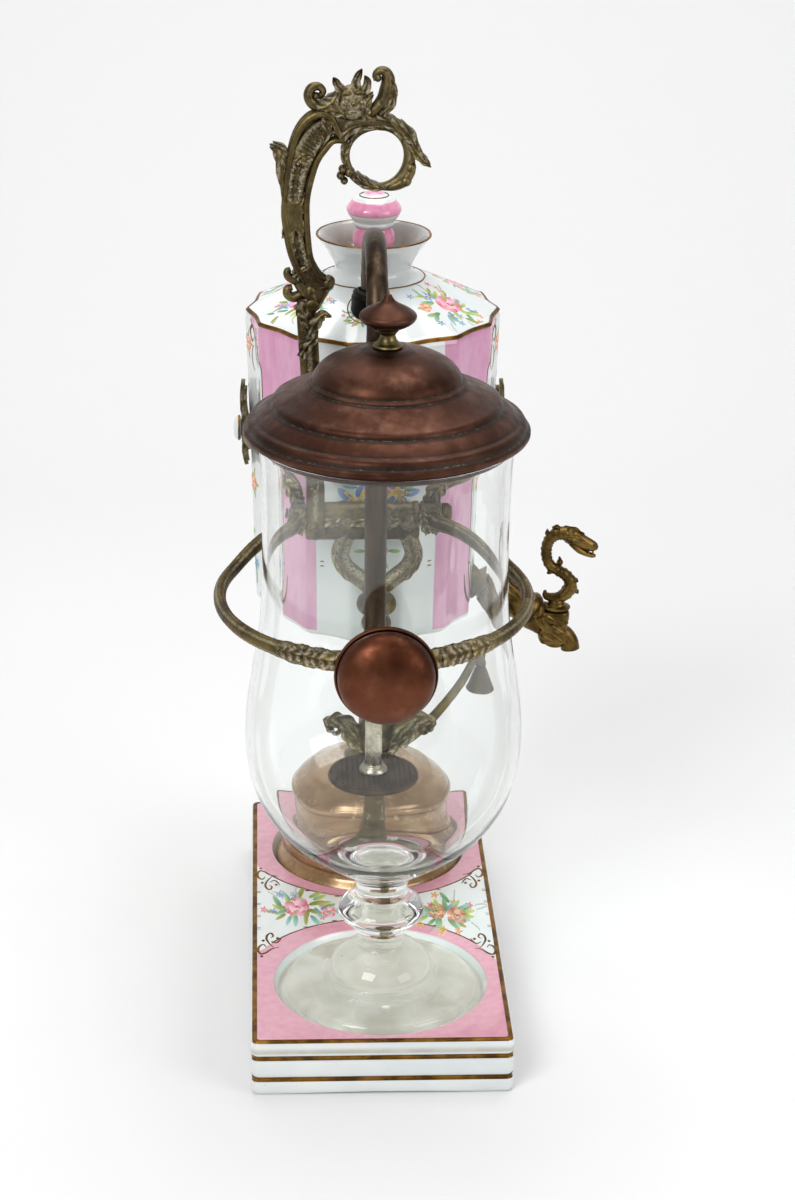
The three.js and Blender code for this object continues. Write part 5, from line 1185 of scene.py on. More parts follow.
for side in (-1, 1):
    edge = []
    for i in range(41):
        z = between(178, 325, i / 40)
        end = max(eased((z - 300) / 26), eased((200 - z) / 22))
        edge.append((side * degrees_to_mm(63 + 20 * end * end, z), z))
    wall_line(gold, edge, 0.85, smooth=2)
    inner = [(u + side * 1.9, z) for u, z in edge[7:-7]]
    wall_line(gold, inner, 0.4, smooth=2)
    for z0, flip in ((312, 1), (286, -1), (262, 1), (236, -1), (212, 1), (192, -1)):
        u0 = side * (degrees_to_mm(64.5, z0) + 1.2)
        curl = [(u0, z0 - 7 * flip), (u0 + side * 1.6, z0 - 3 * flip), (u0 + side * 3.4, z0 + 0.5 * flip),
            (u0 + side * 3.6, z0 + 3.4 * flip), (u0 + side * 1.8, z0 + 4 * flip),
            (u0 + side * 1.4, z0 + 2.2 * flip)]
        wall_line(gold, curl, 0.75, True)
        wall_line(gold, [(u0 + side * 0.4, z0 - 4 * flip), (u0 + side * 3.2, z0 - 5.4 * flip),
            (u0 + side * 5.4, z0 - 3.6 * flip)], 0.6, True)
    for flip, z0 in ((1, 318), (-1, 186)):
        u0 = side * (degrees_to_mm(63 + 15 * (flip > 0), z0) + 2)
        bold = ((-6, -12), (-5, -4), (-2.4, 2.2), (1.4, 4.4), (4.2, 2.4), (3.8, -1.6), (1, -3.4),
            (-0.8, -1.4))
        tail = ((-1.4, -5), (1.6, -8), (2.4, -12.4), (0.6, -16.4), (-2.6, -18))
        for curl, width in ((bold, 2.6), (tail, 1.5)):
            wall_line(gold, [(u0 + side * du, z0 + flip * dz) for du, dz in curl], width, True)
    for z0 in (301, 270, 240, 211):
        for k in (0, 1):
            u0 = side * (degrees_to_mm(32.3, z0) - 3.4)
            wall_line(gold, [(u0 - 1.1, z0 + 2.4 * k), (u0 + 0.2, z0 + 0.3 + 2.4 * k),
                (u0 + 1.3, z0 + 0.1 + 2.4 * k)], 0.85, True, 4)
ring_line = []
for a in angles(72):
    p = Vector((PIPE_X + 11.6 * math.cos(a), PIPE_REAR + 11.6 * math.sin(a), 0))
    here, way = shoulder_surface(p.x, p.y - BOILER_Y)
    ring_line.append(here + way * 0.02)
gilt_line(gold, ring_line, 0.8, (0, -0.38, 0.92), 0.18, True)
gold.made("boiler_gilding", "boiler", burnished_gilding, "porcelain")

bouquet = Painting(wall_surface, 11)
for k in range(10):
    a = 2 * math.pi * k / 10
    bouquet.leaf(1 + 15 * math.cos(a), 256 + 17 * math.sin(a), 9.5, a,
        (("#5d9a52", "#a8cf7c"), ("#7fae3f", "#cfdc7a"), ("#3f7f6c", "#8fbfa8"))[k % 3])
bouquet.blossom(-10, 247, 14.5, ("#2f5fb0", "#7fa9dc"))
bouquet.blossom(-10, 247, 11, ("#e2a91d", "#f7e06a"), "#b3481f")
bouquet.blossom(11, 253, 15, ("#2f5fb0", "#7fa9dc"))
bouquet.blossom(11, 253, 11.4, ("#e8b52a", "#f9e98a"), "#c9361f")
bouquet.blossom(6, 265, 9.5, ("#3565b8", "#a9c9ee"), "#f1d25a")
bouquet.blossom(-8, 261, 8.5, ("#2f5fb0", "#9fc3ea"), "#f3dd7a")
bouquet.rose(0, 256, 10, "#f4c9d4", "#d85a7c")
for k in range(9):
    a = 2 * math.pi * k / 9 + 0.2
    bouquet.blossom(1 + 20 * math.cos(a), 256 + 22 * math.sin(a), 2.6,
        (("#d8433a", "#f0a08c"), ("#4a78c0", "#b9d0ee"), ("#e4b23a", "#f6e79a"))[k % 3])
    bouquet.sprig(1 + 17 * math.cos(a), 256 + 18 * math.sin(a), 8, a, "#7fa36a", "#e0a03a")
for k in range(6):
    a = 2 * math.pi * k / 6
    bouquet.leaf(0.5 + 9 * math.cos(a), 222 + 8 * math.sin(a), 6.5, a)
bouquet.rose(0.5, 222, 7)
for side in (-1, 1):
    for z, kind in ((312, 0), (290, 1), (262, 2), (238, 0), (212, 1), (193, 2)):
        u0 = side * (degrees_to_mm(90, z) + (4 if kind == 1 else -3))
        if kind == 0:
            for k in range(5):
                bouquet.leaf(u0 + 5 * math.cos(1.26 * k), z + 6 * math.sin(1.26 * k), 6.5, 1.26 * k)
            bouquet.rose(u0, z, 6, "#f6c0a0", "#d9583a")
        elif kind == 1:
            bouquet.sprig(u0, z - 8, 14, 1.57, "#6f9d5c", "#4a78c0")
            bouquet.blossom(u0, z, 4.6, ("#e0ae2c", "#f8e48a"), "#b5502a")
            bouquet.leaf(u0 - 4, z - 3, 7, 2.3)
            bouquet.leaf(u0 + 4, z - 2, 7, 0.8)
        else:
            bouquet.sprig(u0, z - 9, 15, 1.5, "#5f9a66", "#d86a8c")
            bouquet.blossom(u0 + 1, z + 1, 4.2, ("#3f6fb8", "#a9c6ea"))
            bouquet.leaf(u0 - 4, z, 6.5, 2.6)
bouquet.made("boiler_flowers", "boiler")

SKY_BLUES = ("#3c6cb4", "#a6c8ec")
garland = Painting(shoulder_surface, 23)
pink_roses = ((0.1, 0.12, 0.36, "#f3b7c6", "#cf4a72"), (-0.44, -0.3, 0.17, "#f6c8a8", "#d9583a"))
mauve_roses = ((0, 0.1, 0.33, "#f4c0d6", "#d66a9a"), (0.4, -0.3, 0.18, "#f3b7c6", "#cf4a72"))
for angle, big in ((-58, 1), (52, 1.1), (-112, 0.9), (112, 0.9), (-8, 0.6), (165, 0.8), (-165, 0.8)):
    a = math.radians(angle)
    cu, cv = 43.5 * math.sin(a), -43.5 * math.cos(a)
    spray(garland, cu, cv, 20.5 * big, 0.82, pink_roses if angle > 0 else mauve_roses,
        (BLUES, ORANGES, REDS, SKY_BLUES))
    garland.blossom(cu - 7 * big, cv + 3 * big, 4.6 * big, SKY_BLUES)
    garland.blossom(cu + 4 * big, cv - 7 * big, 3.6 * big, ("#3a67b0", "#9cc0ea"))
garland.made("shoulder_flowers", "boiler")

for side, name in ((-1, "left"), (1, "right")):
    turn = trunnion_place(side)
    button = softened([(0, 58.9), (2.4, 58.9), (2.4, 62.5), (3.85, 62.5), (3.85, 66.2), (5.8, 66.2),
        (6.4, 67.2), (6.1, 68.2), (4.8, 69.3), (2.4, 69.95), (0, 70.07)], 0.7, 4)
    Form().turned(button, 48, turn).made(name + "_button", "boiler", plain_glaze, "porcelain",
        [name + "_trunnion_button"])
    rim = Form()
    circle = [turn @ Vector((6.28 * math.cos(a), 6.28 * math.sin(a), 67.2)) for a in angles(48)]
    gilt_line(rim, circle, 1.0, lambda t, p: Vector((0, p.y - BOILER_Y, p.z - TRUNNION_Z)).normalized(),
        0.14, True)
    rim.made(name + "_button_gilding", "boiler", burnished_gilding, "porcelain")

knob = softened([(0, 358.8), (8.4, 358.8), (9.6, 360.4), (10.6, 363), (10.4, 366.4), (9.2, 369),
    (8.9, 370.4), (10.3, 371.6), (10.6, 372.6), (10.2, 373.4), (12.4, 376), (13.75, 378.6), (13.3, 380.4),
    (11.2, 383.2), (8.6, 385.4), (5.6, 386.3), (4.8, 387.2), (2.6, 388.2), (0, 388.4)], 0.9, 4)
Form().turned(knob, 96, BOILER_AXIS).made("porcelain_stopper", "stopper",
    stopper_glaze, "porcelain", ["stopper_knob"], 50)
stopper_gold = Form()
circle = [Vector((7.2 * math.cos(a), BOILER_Y + 7.2 * math.sin(a), 386)) for a in angles(72)]
gilt_line(stopper_gold, circle, 0.6, leaning(8), 0.16, True)
stopper_gold.made("stopper_gilding", "stopper", burnished_gilding, "porcelain")
cork = Form().turned(softened([(0, 340.6), (9, 340.6), (9.9, 342), (10.2, 350), (10.2, 357.6),
    (9.4, 358.5), (0, 358.5)], 0.8), 72, BOILER_AXIS)
chance = random.Random(3)
for i in range(26):
    a = chance.uniform(0, 2 * math.pi)
    cork.lump((10.1 * math.cos(a), BOILER_Y + 10.1 * math.sin(a), chance.uniform(354.6, 357.4)),
        (chance.uniform(0.3, 0.8), chance.uniform(0.3, 0.8), chance.uniform(0.3, 0.6)), 8)
cork.made("stopper_cork_bark", "stopper", soaked_cork, "cork", ["stopper_cork"])

# Siphon pipe, ferrule and strainer

pipe_path = [Vector((PIPE_X, PIPE_REAR, z)) for z in (184, 220, 260, 300, 340)]
for i in range(49):
    a = math.pi * i / 48
    pipe_path.append(Vector((PIPE_X, -6.5 + 39.5 * math.cos(a), 346 + 37.2 * math.sin(a))))
pipe_path += [Vector((PIPE_X, PIPE_FRONT, z)) for z in (340, 300, 260, 220, 186)]
rings = []
pipe = Form()
for radius, order in ((5.2, 1), (4.45, -1)):
    for i in range(len(pipe_path))[::order]:
        here = pipe_path[i]
        before, after = pipe_path[max(i - 1, 0)], pipe_path[min(i + 1, len(pipe_path) - 1)]
        way = (after - before).normalized()
        side = Vector((1, 0, 0))
        out = way.cross(side).normalized()
        wear = radius - (0.18 * (0.5 + 0.5 * math.sin(i * 1.9)) if order > 0 and 5 <= i <= 52 else 0)
        rings.append(pipe.ring([here + side * wear * math.cos(a) + out * radius * math.sin(a)
            for a in angles(40)]))
pipe.skin(rings, closed=True).made("siphon_tube", "boiler", tube_bronze, "bronze", ["siphon_pipe"])
tip = Form().turned(softened([(3.4, 130.4), (4.15, 130.6), (4.15, 180), (4.15, 202), (3.4, 202)], 0.3),
    40, PIPE_OUTLET)
tip.made("tinned_tip", "boiler", tinned_tube, "tinned_brass", ["pipe_tip"])
ferrule = softened([(5.5, 326), (9.4, 326), (9.6, 327), (9.6, 345.6), (9.2, 346.3), (8.7, 346.6),
    (8.9, 347.4), (8.9, 348), (8.2, 348.6), (6.8, 349.1), (6.1, 349.4), (6.0, 348.8), (5.5, 344)], 0.35)
Form().turned(ferrule, 56, PIPE_INLET).made("black_ferrule", "boiler",
    blackened_ferrule, "bronze", ["pipe_ferrule"])


def tree_inputs(tree, **inputs):
    """A geometry tree with a named input for each size, and its input and output nodes."""
    tree.interface.new_socket("Geometry", in_out="INPUT", socket_type="NodeSocketGeometry")
    tree.interface.new_socket("Geometry", in_out="OUTPUT", socket_type="NodeSocketGeometry")
    for name, value in inputs.items():
        kind = "NodeSocketMaterial" if isinstance(value, bpy.types.Material) else "NodeSocketFloat"
        socket = tree.interface.new_socket(name.replace("_", " "), in_out="INPUT", socket_type=kind)
        socket.default_value = value
    return add(tree, "NodeGroupInput").outputs, add(tree, "NodeGroupOutput").inputs


def grown(name, start, tree, body, nodes=()):
    """Runs a geometry tree on a starting mesh and keeps the result as a plain piece."""
    made = linked(name, start)
    modifier = made.modifiers.new("growth", "NODES")
    modifier.node_group = tree
    mesh = evaluated(made)
    made.modifiers.clear()
    made.data = mesh
    bpy.data.meshes.remove(start)
    outwards(mesh, weld=True)
    shaded(mesh)
    return handed_in(made, body, nodes)


# Strainer: rows of 1.2 mm holes 2.4 mm apart, drilled through the plate by the tree
disc = Form().turned(softened([(4.5, 129.2), (21, 127.8), (22, 126.5), (22.25, 127.6), (21.6, 129),
    (12, 129.9), (4.5, 130.2)], 0.35), 72, PIPE_OUTLET)
start = mesh_of("strainer", disc.points, disc.faces)
tree = bpy.data.node_groups.new("drilled_plate", "GeometryNodeTree")
given, wanted = tree_inputs(tree, Spacing=0.0024, Hole=0.00058, Reach=0.0204, Heart=0.0068,
    Finish=strainer_bronze)
count = maths(tree, "CEIL", maths(tree, "DIVIDE", maths(tree, "MULTIPLY", given["Reach"], 2.0),
    given["Spacing"]))
span = maths(tree, "MULTIPLY", given["Reach"], 2.0)
grid = add(tree, "GeometryNodeMeshGrid", {"Size X": span, "Size Y": span, "Vertices X": count,
    "Vertices Y": count})
spot = add(tree, "GeometryNodeInputPosition").outputs[0]
away = add(tree, "ShaderNodeVectorMath", {0: spot}, operation="LENGTH").outputs["Value"]
outside = maths(tree, "MAXIMUM", maths(tree, "GREATER_THAN", away, given["Reach"]),
    maths(tree, "LESS_THAN", away, given["Heart"]))
kept = add(tree, "GeometryNodeDeleteGeometry", {"Geometry": grid.outputs["Mesh"], "Selection": outside})
drill = add(tree, "GeometryNodeMeshCylinder", {"Vertices": 10, "Radius": given["Hole"], "Depth": 0.008})
holes = add(tree, "GeometryNodeInstanceOnPoints", {"Points": kept.outputs[0],
    "Instance": drill.outputs["Mesh"]})
real = add(tree, "GeometryNodeRealizeInstances", {"Geometry": holes.outputs[0]})
placed = add(tree, "GeometryNodeTransform", {"Geometry": real.outputs[0],
    "Translation": (PIPE_X * MM, PIPE_FRONT * MM, 0.1285)})
cut = add(tree, "GeometryNodeMeshBoolean", {"Mesh 1": given["Geometry"], "Mesh 2": placed.outputs[0]},
    operation="DIFFERENCE", solver="EXACT")
dressed = add(tree, "GeometryNodeSetMaterial", {"Geometry": cut.outputs[0], "Material": given["Finish"]})
tree.links.new(dressed.outputs[0], wanted[0])
grown("drilled_strainer", start, tree, "boiler", ["strainer_plate"])
Form().turned(softened([(4.5, 130.45), (7, 130.45), (6.8, 131.2), (6.2, 132.2), (5, 133.4), (4.95, 134.3),
    (4.5, 134.3)], 0.3), 40, PIPE_OUTLET).made("strainer_socket", "boiler",
    tinned_tube, "tinned_brass", ["strainer_collar"])

# Glass vessel and lid

glass = Form()
stalk = [(0, 23.25), (44.6, 23.25), (46.4, 23.9), (47, 25.6), (46.6, 27.8), (45, 29.2), (39, 30.4),
    (32, 31.6), (28.6, 32.8), (26.8, 34.2), (24.9, 35.4), (25, 38), (23.8, 41.2), (20.8, 44.8),
    (16.6, 47.8), (12.6, 49.8), (11.4, 52), (11.9, 56), (13, 60)]
knop = [(16.6, 62.8), (20, 66.2), (20.8, 68.8), (19.8, 71.8), (16, 75.2), (12.8, 77.4), (12.2, 79.6),
    (13, 84), (15, 87.4), (19.4, 91.4)]
bowl = [(25.4, 95.5), (36.5, 103.5), (47.6, 113.5), (56.6, 126), (62.2, 140), (65.0, 156), (64.7, 175),
    (62.2, 194), (58.8, 216), (57.2, 238), (56.8, 262), (57.3, 290), (58.1, 307.6)]
outside = [Vector(p) for p in stalk[:4]] + curve_through(stalk[4:] + knop + bowl, 5)
rim = [(58.15, 308.4), (57.8, 308.9), (57, GLASS_RIM), (56.3, 308.8), (56, 308.3)]
inner = [(56, 307.5), (55.1, 290), (54.6, 262), (55, 238), (56.6, 216), (60, 194), (62.5, 175),
    (62.8, 156), (60, 140), (54.4, 126.8), (45.8, 115.4), (35.4, 106.6), (24, 100.8), (12, 98.2),
    (0, 97.5)]
inner = [(max(r, 0), z) for r, z in curve_through(inner, 5)]
GLASS_AXIS = Matrix.Translation((GLASS_X, GLASS_Y, 0))
glass.turned(outside + rim + inner, 128, GLASS_AXIS)
glass.made("glass_goblet", "stand", blown_glass, "glass", ["glass_vessel"], 60)

outer = [(64.6, LID_RIM, 0.1), (65.2, 313.3, 0), (65.2, 314.6, 0), (64.4, 315.5, 0.6), (63.7, 315.9, 0.95),
    (63.5, 316.6, 0.8), (63.2, 317.8, 0.5), (62.4, 319.1, 0.2), (61.2, 319.8, 0), (60.3, 319.9, 0.9),
    (59.6, 320.4, 0.6), (58.6, 321.3, 0.05), (56.6, 323, 0), (54.4, 324.5, 0.1), (53.1, 325.2, 0.8),
    (52.5, 325.8, 0.9), (52.3, 327, 0.3), (51.6, 328.2, 0), (50.2, 328.9, 0), (47.8, 329.8, 0),
    (44, 331.8, 0), (40, 333.8, 0), (37.6, 334.9, 0.1), (36.6, 335.4, 0.8), (36.2, 335.9, 0.9),
    (36.1, 336.5, 0.2), (35.4, 337.1, 0), (34.5, 337.4, 0.3), (34.0, 337.8, 0.95), (33.8, 338.5, 0.5),
    (33.3, 339.8, 0), (32.2, 341.6, 0), (30.4, 343.6, 0), (28, 345.4, 0), (25, 347, 0), (22.4, 348.2, 0),
    (18.6, 349.6, 0), (14, 350.9, 0), (11.6, 351.5, 0.6), (11.2, 351.7, 0.9), (9.4, 352.2, 0.2),
    (3.4, 352.35, 0.3)]
under = [(3.4, 351.3, 0)] + [(max(r - 0.55, 3.4), z - 0.95, 0) for r, z, _ in reversed(outer[8:-1])]
under = [p for p in under if p[1] < 351.3]
skirt = [(61.6, 318.2, 0), (62.6, 317.2, 0), (62.9, 315.6, 0), (63.6, 313.8, 0), (63.7, 312.5, 0)]
profile = outer + under + skirt
lid = Form().turned([(r, z) for r, z, _ in profile], 144, GLASS_AXIS, [mark for _, _, mark in profile])
collar = softened([(54.5, 306.1), (55.5, 306.1), (55.5, 309.4), (58.1, 309.4), (58.1, 310.2),
    (56.4, 310.4), (57.2, 320.8), (56.2, 321.2), (54.5, 318)], 0.2)
lid.turned(collar, 112, GLASS_AXIS)
lid = lid.made("spun_lid", "lid", lid_copper, "copper", ["lid_shell"], 40)
notch = Form()
half, slot_end = 7.2, -53.3
outline = [(PIPE_X + half, 4), (PIPE_X + half, slot_end)]
for i in range(1, 24):
    a = -math.pi * i / 24
    outline.append((PIPE_X + half * math.cos(a), slot_end + half * math.sin(a)))
outline += [(PIPE_X - half, slot_end), (PIPE_X - half, 4)]
notch.skin([notch.ring([(x, y, z) for x, y in outline]) for z in (296, 360)], capped=True)
carve(lid, [notch])
neck = softened([(2.9, 349.5), (2.9, 352.5), (6.6, 352.5), (6.9, 353.1), (6.4, 353.8), (5.2, 354.6),
    (4, 356.1), (3.5, 357.6), (3.5, 358.6), (4.6, 359.8), (5, 360.3), (4.8, 360.7), (1.8, 360.8),
    (1.8, 364.6), (0, 364.6)], 0.35)
Form().turned([(0, 349.5)] + neck, 56, GLASS_AXIS).made("lid_neck_brass", "lid",
    neck_brass, "brass", ["lid_neck"])
knob_form = Form()
knob_profile = curve_through(((5.2, 361.05), (8.2, 362.2), (11.6, 364.3),
    (12.9, 366.2), (12.6, 367.8), (10.4, 369.6), (7.6, 371.2), (5, 372.6), (3.3, 373.8), (2.5, 374.8),
    (1.9, 375.6), (1.6, 376.4), (0.9, 376.9), (0, 377)), 4)
knob_form.turned([(0, 361.05)] + [(max(r, 0), z) for r, z in knob_profile], 72, GLASS_AXIS)
knob_form.made("lid_button", "lid", lid_copper, "copper", ["lid_knob"], 60)

# Spirit lamp

pot = softened([(0, 25.3), (36, 25.3), (37, 23.7), (48, 23.7), (49, 25.4), (48.4, 27.6), (45.4, 30.6),
    (44.4, 33), (46, 35), (46.2, 38.4), (45, 40.6), (44.6, 45), (44.6, 54), (45, 58.4), (46.2, 60.4),
    (46, 63.4), (44.2, 65), (43.4, 66.6), (41, 69), (34, 75), (24, 78.5), (16.6, 79), (15.4, 79.4),
    (14.8, 80.4), (13, 80.5), (12.1, 80.2), (12, 78), (14, 75.6), (30, 72.4), (38.5, 66), (41, 60),
    (41.4, 40), (40, 34), (37, 29.4), (0, 29.2)], 0.9, 3)
Form().turned(pot, 128, BOILER_AXIS).made("lustre_lamp", "stand", gold_lustre,
    "lustre_ceramic", ["lamp_pot"])
burner = softened([(4.95, 77.2), (11.6, 77.2), (11.6, 80.9), (14.2, 80.9), (14.4, 81.6), (14.2, 82.6),
    (11, 83.8), (9, 85.3), (7.6, 86.6), (6.8, 88.8), (6.3, 92.8), (6.2, 112), (6.2, 128.4), (6.9, 129.6),
    (7, 130.7), (6.4, 131), (4.95, 131)], 0.5)
Form().turned(burner, 56, BOILER_AXIS).made("burner_tube", "stand", neck_brass,
    "brass", ["burner_collar"])
wick = Form()
rings = []
for i in range(60):
    z = between(37.4, 134.4, i / 59)
    row = []
    for a in angles(48):
        r = 4.5 + 0.22 * math.sin(8 * a + z * 1.1) * math.sin(8 * a - z * 1.1)
        row.append((r, a, z))
    rings.append(wick.ring(row))
wick.points = [Vector((r * math.cos(a), BOILER_Y + r * math.sin(a), z)) for r, a, z in wick.points]
wick.skin(rings, capped=True).made("braided_wick", "stand", braided_cotton, "cotton", ["wick"], 60)

# Tap

aim = towards(tap_root, tap_aim)
barrel = softened([(0, -4.4), (4.9, -4.4), (4.9, 2.3), (9.6, 5.7), (10.4, 6.2), (10.4, 7.1), (9.4, 7.5),
    (7.6, 8.2), (7.2, 9.6), (7.6, 12), (8.2, 14), (7.8, 16), (8.2, 22), (8.8, 27), (9.8, 28), (10, 29.6),
    (9.6, 31.6), (8.8, 33), (0, 33)], 0.6)
barrel_form = Form().turned(barrel, 48, aim)


def out_of_barrel(t, point):
    """The way out from the barrel's axis."""
    along_axis = (point - tap_root).dot(tap_aim)
    return (point - (tap_root + tap_aim * along_axis)).normalized()


for a in angles(7):
    turn = Matrix.Rotation(a, 4, "Z")
    points = [aim @ turn @ Vector(p) for p in ((7.2, 0, 10), (7.8, 0, 15), (8.0, 0, 20), (8.6, 0, 25.6))]
    acanthus(barrel_form, points, 6.4, 1.6, out_of_barrel, 3, 6)
barrel_form.made("tap_spigot", "boiler", tap_brass, "gilt_brass", ["tap_barrel"])
TAP_X, TAP_Y = 95.6, 60
tap_place = Matrix.Translation((TAP_X, TAP_Y, 0))
BLOCK_X = 94.4
shell = Form()
rows = []
for z, half in ((153.0, 5.8), (153.4, 7.0), (154.8, 7.7), (157.4, 7.8), (159, 7.3), (162, 7.1),
    (164.6, 7.3), (166.4, 7.8), (169.4, 7.9), (170.6, 7.4), (170.9, 6.6)):
    row = []
    for a in angles(56):
        squared = (abs(math.cos(a)) ** 4 + abs(math.sin(a)) ** 4) ** -0.25
        row.append((BLOCK_X + half * squared * math.cos(a), TAP_Y + half * squared * math.sin(a), z))
    rows.append(shell.ring(row))
shell.skin(rows, capped=True)
shell.turned([(0, 33.3), (8.4, 33.3), (8.8, 34.6), (8, 37), (7, 42), (0, 42)], 40, aim)
for face in (-1, 1):
    for points, width in ((((87.4, 169), (89.6, 163.6), (94.6, 158.6), (100.6, 153.8)), 5.6),
        (((87, 161), (90, 157.6), (94.4, 155.2)), 4.4),
        (((90.4, 169.8), (96, 166.6), (101.4, 165.8)), 4.8),
        (((93, 164), (97.6, 161.4), (101.6, 158)), 4.2)):
        acanthus(shell, [(x, TAP_Y + face * 7.5, z) for x, z in points], width, 1.8, (0, face, 0), 2, 7)
spout_path = curve_through([(97, 58.6, 159), (100.6, 58, 156.8), (102.8, 57.7, 153.6),
    (103.4, 57.6, 149.4)], 8)
shell.swept(spout_path, lambda t: round_section(along((5, 4.6, 4.4, 4.6, 4.9), t), 24, 0.1), (1, 0, 0))
shell = shell.made("tap_shell", "boiler", tap_brass, "gilt_brass", ["tap_body"])
bore = Form().turned([(0, 146), (4.9, 152), (5.95, 171.2), (5.95, 174), (0, 174)], 48, tap_place)
mouth = Form().turned([(0, 140), (3.3, 140), (3.3, 153), (0, 153)], 32,
    Matrix.Translation((103.4, 57.6, 0)))
carve(shell, [bore, mouth], True)
plug = softened([(0, 149.6), (2.1, 149.6), (2.1, 153.1), (4.4, 153.1), (5.5, 171), (7.2, 171.4),
    (7.4, 172), (6.4, 172.6), (4.6, 173.2), (4.2, 174.4), (0, 175.4)], 0.4)
Form().turned(plug, 44, tap_place).made("tap_cone", "tap_handle", tap_brass,
    "gilt_brass", ["tap_plug"])
screw("tap_foot_nut", "tap_handle", 5.3, 2.8, (TAP_X, TAP_Y, 152.75), (0, 0, -1), ["tap_nut"], tap_brass,
    "gilt_brass")
beast = Form()
SPINE = [(89.4, 180.8), (90.4, 177.8), (95.6, 176.8), (100.2, 178.8), (102.6, 182.6), (102.2, 186.2),
    (99.6, 189.6), (95.4, 192.2), (91.6, 195), (89.8, 199.4), (89.6, 204.4), (91, 208.8), (94.4, 211.8),
    (98.8, 212.2), (103, 210.2)]
spine = curve_through([(x, TAP_Y, z) for x, z in SPINE], 7)


def spine_section(t):
    girth = along((0.9, 2.3, 3.1, 3.7, 3.8, 3.6, 3.4, 3.2, 3.1, 3.1, 3.2, 3.3, 3.7, 4.2, 4.2), t)
    scale = max(0, math.cos(2 * math.pi * t * 27)) * min(1, 4 * t)
    out = []
    for a in angles(20):
        bump = 0.42 * scale * abs(math.cos(a)) ** 0.5
        out.append(((girth * 0.84 + bump) * math.cos(a), (girth + bump) * math.sin(a), 0.35 * (1 - scale)))
    return out


beast.swept(spine, spine_section, (0, 1, 0))


def jaw(path, heights, widths):
    line = curve_through([(x, TAP_Y, z) for x, z in path], 5)

    def section(t):
        height, width = along(heights, t), along(widths, t)
        return [(height * math.cos(a), width * math.sin(a) * (1 - 0.25 * math.cos(a) ** 2), 0.15)
            for a in angles(20)]

    beast.swept(line, section, (0, 1, 0))


jaw([(97.6, 212), (100.4, 211.4), (104.2, 209.4), (108, 207.4), (111.6, 205.8), (114.4, 204.6),
    (115.8, 204)], (2.6, 4.3, 4.4, 3.9, 3.3, 2.5, 1.1), (2.6, 3.4, 3.6, 3.0, 2.6, 2.2, 1.0))
jaw([(102, 207), (106.4, 203.2), (110.4, 201), (113.6, 200), (115, 200)], (1.6, 1.9, 1.5, 1.3, 0.7),
    (2.0, 2.4, 2.0, 1.6, 0.8))
beast.turned(softened([(0, 174.5), (4.2, 174.5), (3.6, 175.6), (2.8, 177), (0, 177.4)], 0.4), 24, tap_place)
FINS = (((108, 210.6), (103.4, 213.6), (98.4, 216.2), 5.2),
    ((95.8, 214.4), (94.4, 215.6), (92, 215.4), 3.6), ((91, 211), (89.8, 212.8), (89.8, 214.6), 3),
    ((95.4, 194.4), (96.6, 196.8), (96.4, 199.6), 3.6), ((92.2, 192.8), (91.4, 191.2), (90.2, 190.2), 3),
    ((103.4, 186), (105.2, 186.6), (106.4, 185.4), 3), ((104, 180.6), (105.8, 180.4), (106.6, 179), 3))
for (x0, z0), (x1, z1), (x2, z2), width in FINS:
    acanthus(beast, [(x0, TAP_Y, z0), (x1, TAP_Y, z1), (x2, TAP_Y, z2)], width, 2.2, (0, -1, 0), 2, 6)
for side in (-1, 1):
    beast.lump((105.2, TAP_Y + side * 3.3, 210.0), (1.5, 0.9, 1.2), 14, mark=0.1)
    beast.lump((114, TAP_Y + side * 1.7, 206.4), (1.1, 0.9, 0.9), 12, mark=0.3)
    beast.lump((111.2, TAP_Y + side * 1.9, 202.6), (0.5, 0.5, 1.0), 10)
    beast.lump((113.4, TAP_Y + side * 1.6, 202.2), (0.5, 0.5, 0.9), 10)
    acanthus(beast, [(99, TAP_Y + side * 3.2, 212), (102.6, TAP_Y + side * 3.8, 211.6),
        (106.6, TAP_Y + side * 3.5, 210), (110, TAP_Y + side * 2.8, 208)], 3.2, 1.4, (0, side, 0.4), 2, 6)
    acanthus(beast, [(98, TAP_Y + side * 2.2, 178), (101, TAP_Y + side * 3.0, 181),
        (102.6, TAP_Y + side * 3.0, 185), (101, TAP_Y + side * 2.4, 189)], 4.4, 1.6, (0, side, 0), 4, 6)
beast.made("tap_beast", "tap_handle", tap_brass, "gilt_brass", ["tap_key"])

# Carrying handle


def in_plane(points, y=HANDLE_Y):
    return [Vector((x, y, z)) for x, z in points]


stem = Form()
stem_path = curve_through(in_plane([(-31.7, 240.5), (-31.7, 262), (-31.9, 290), (-32.6, 318),
    (-33.4, 333), (-34.2, 346), (-34.6, 356)]), 10)


def stem_section(t):
    """A flattened bar with a groove down its face."""
    half = along((4.9, 4.8, 4.6, 4.6, 4.8, 4.7, 4.4), t)
    deep = along((2.4, 2.7, 3.1, 3.4, 3.6, 3.4, 3.0), t)
    out = []
    for a in angles(24):
        groove = 0.7 * max(0, math.cos(2 * a + math.pi)) ** 6
        out.append((half * math.cos(a), (deep - groove) * math.sin(a), groove * 1.3))
    return out


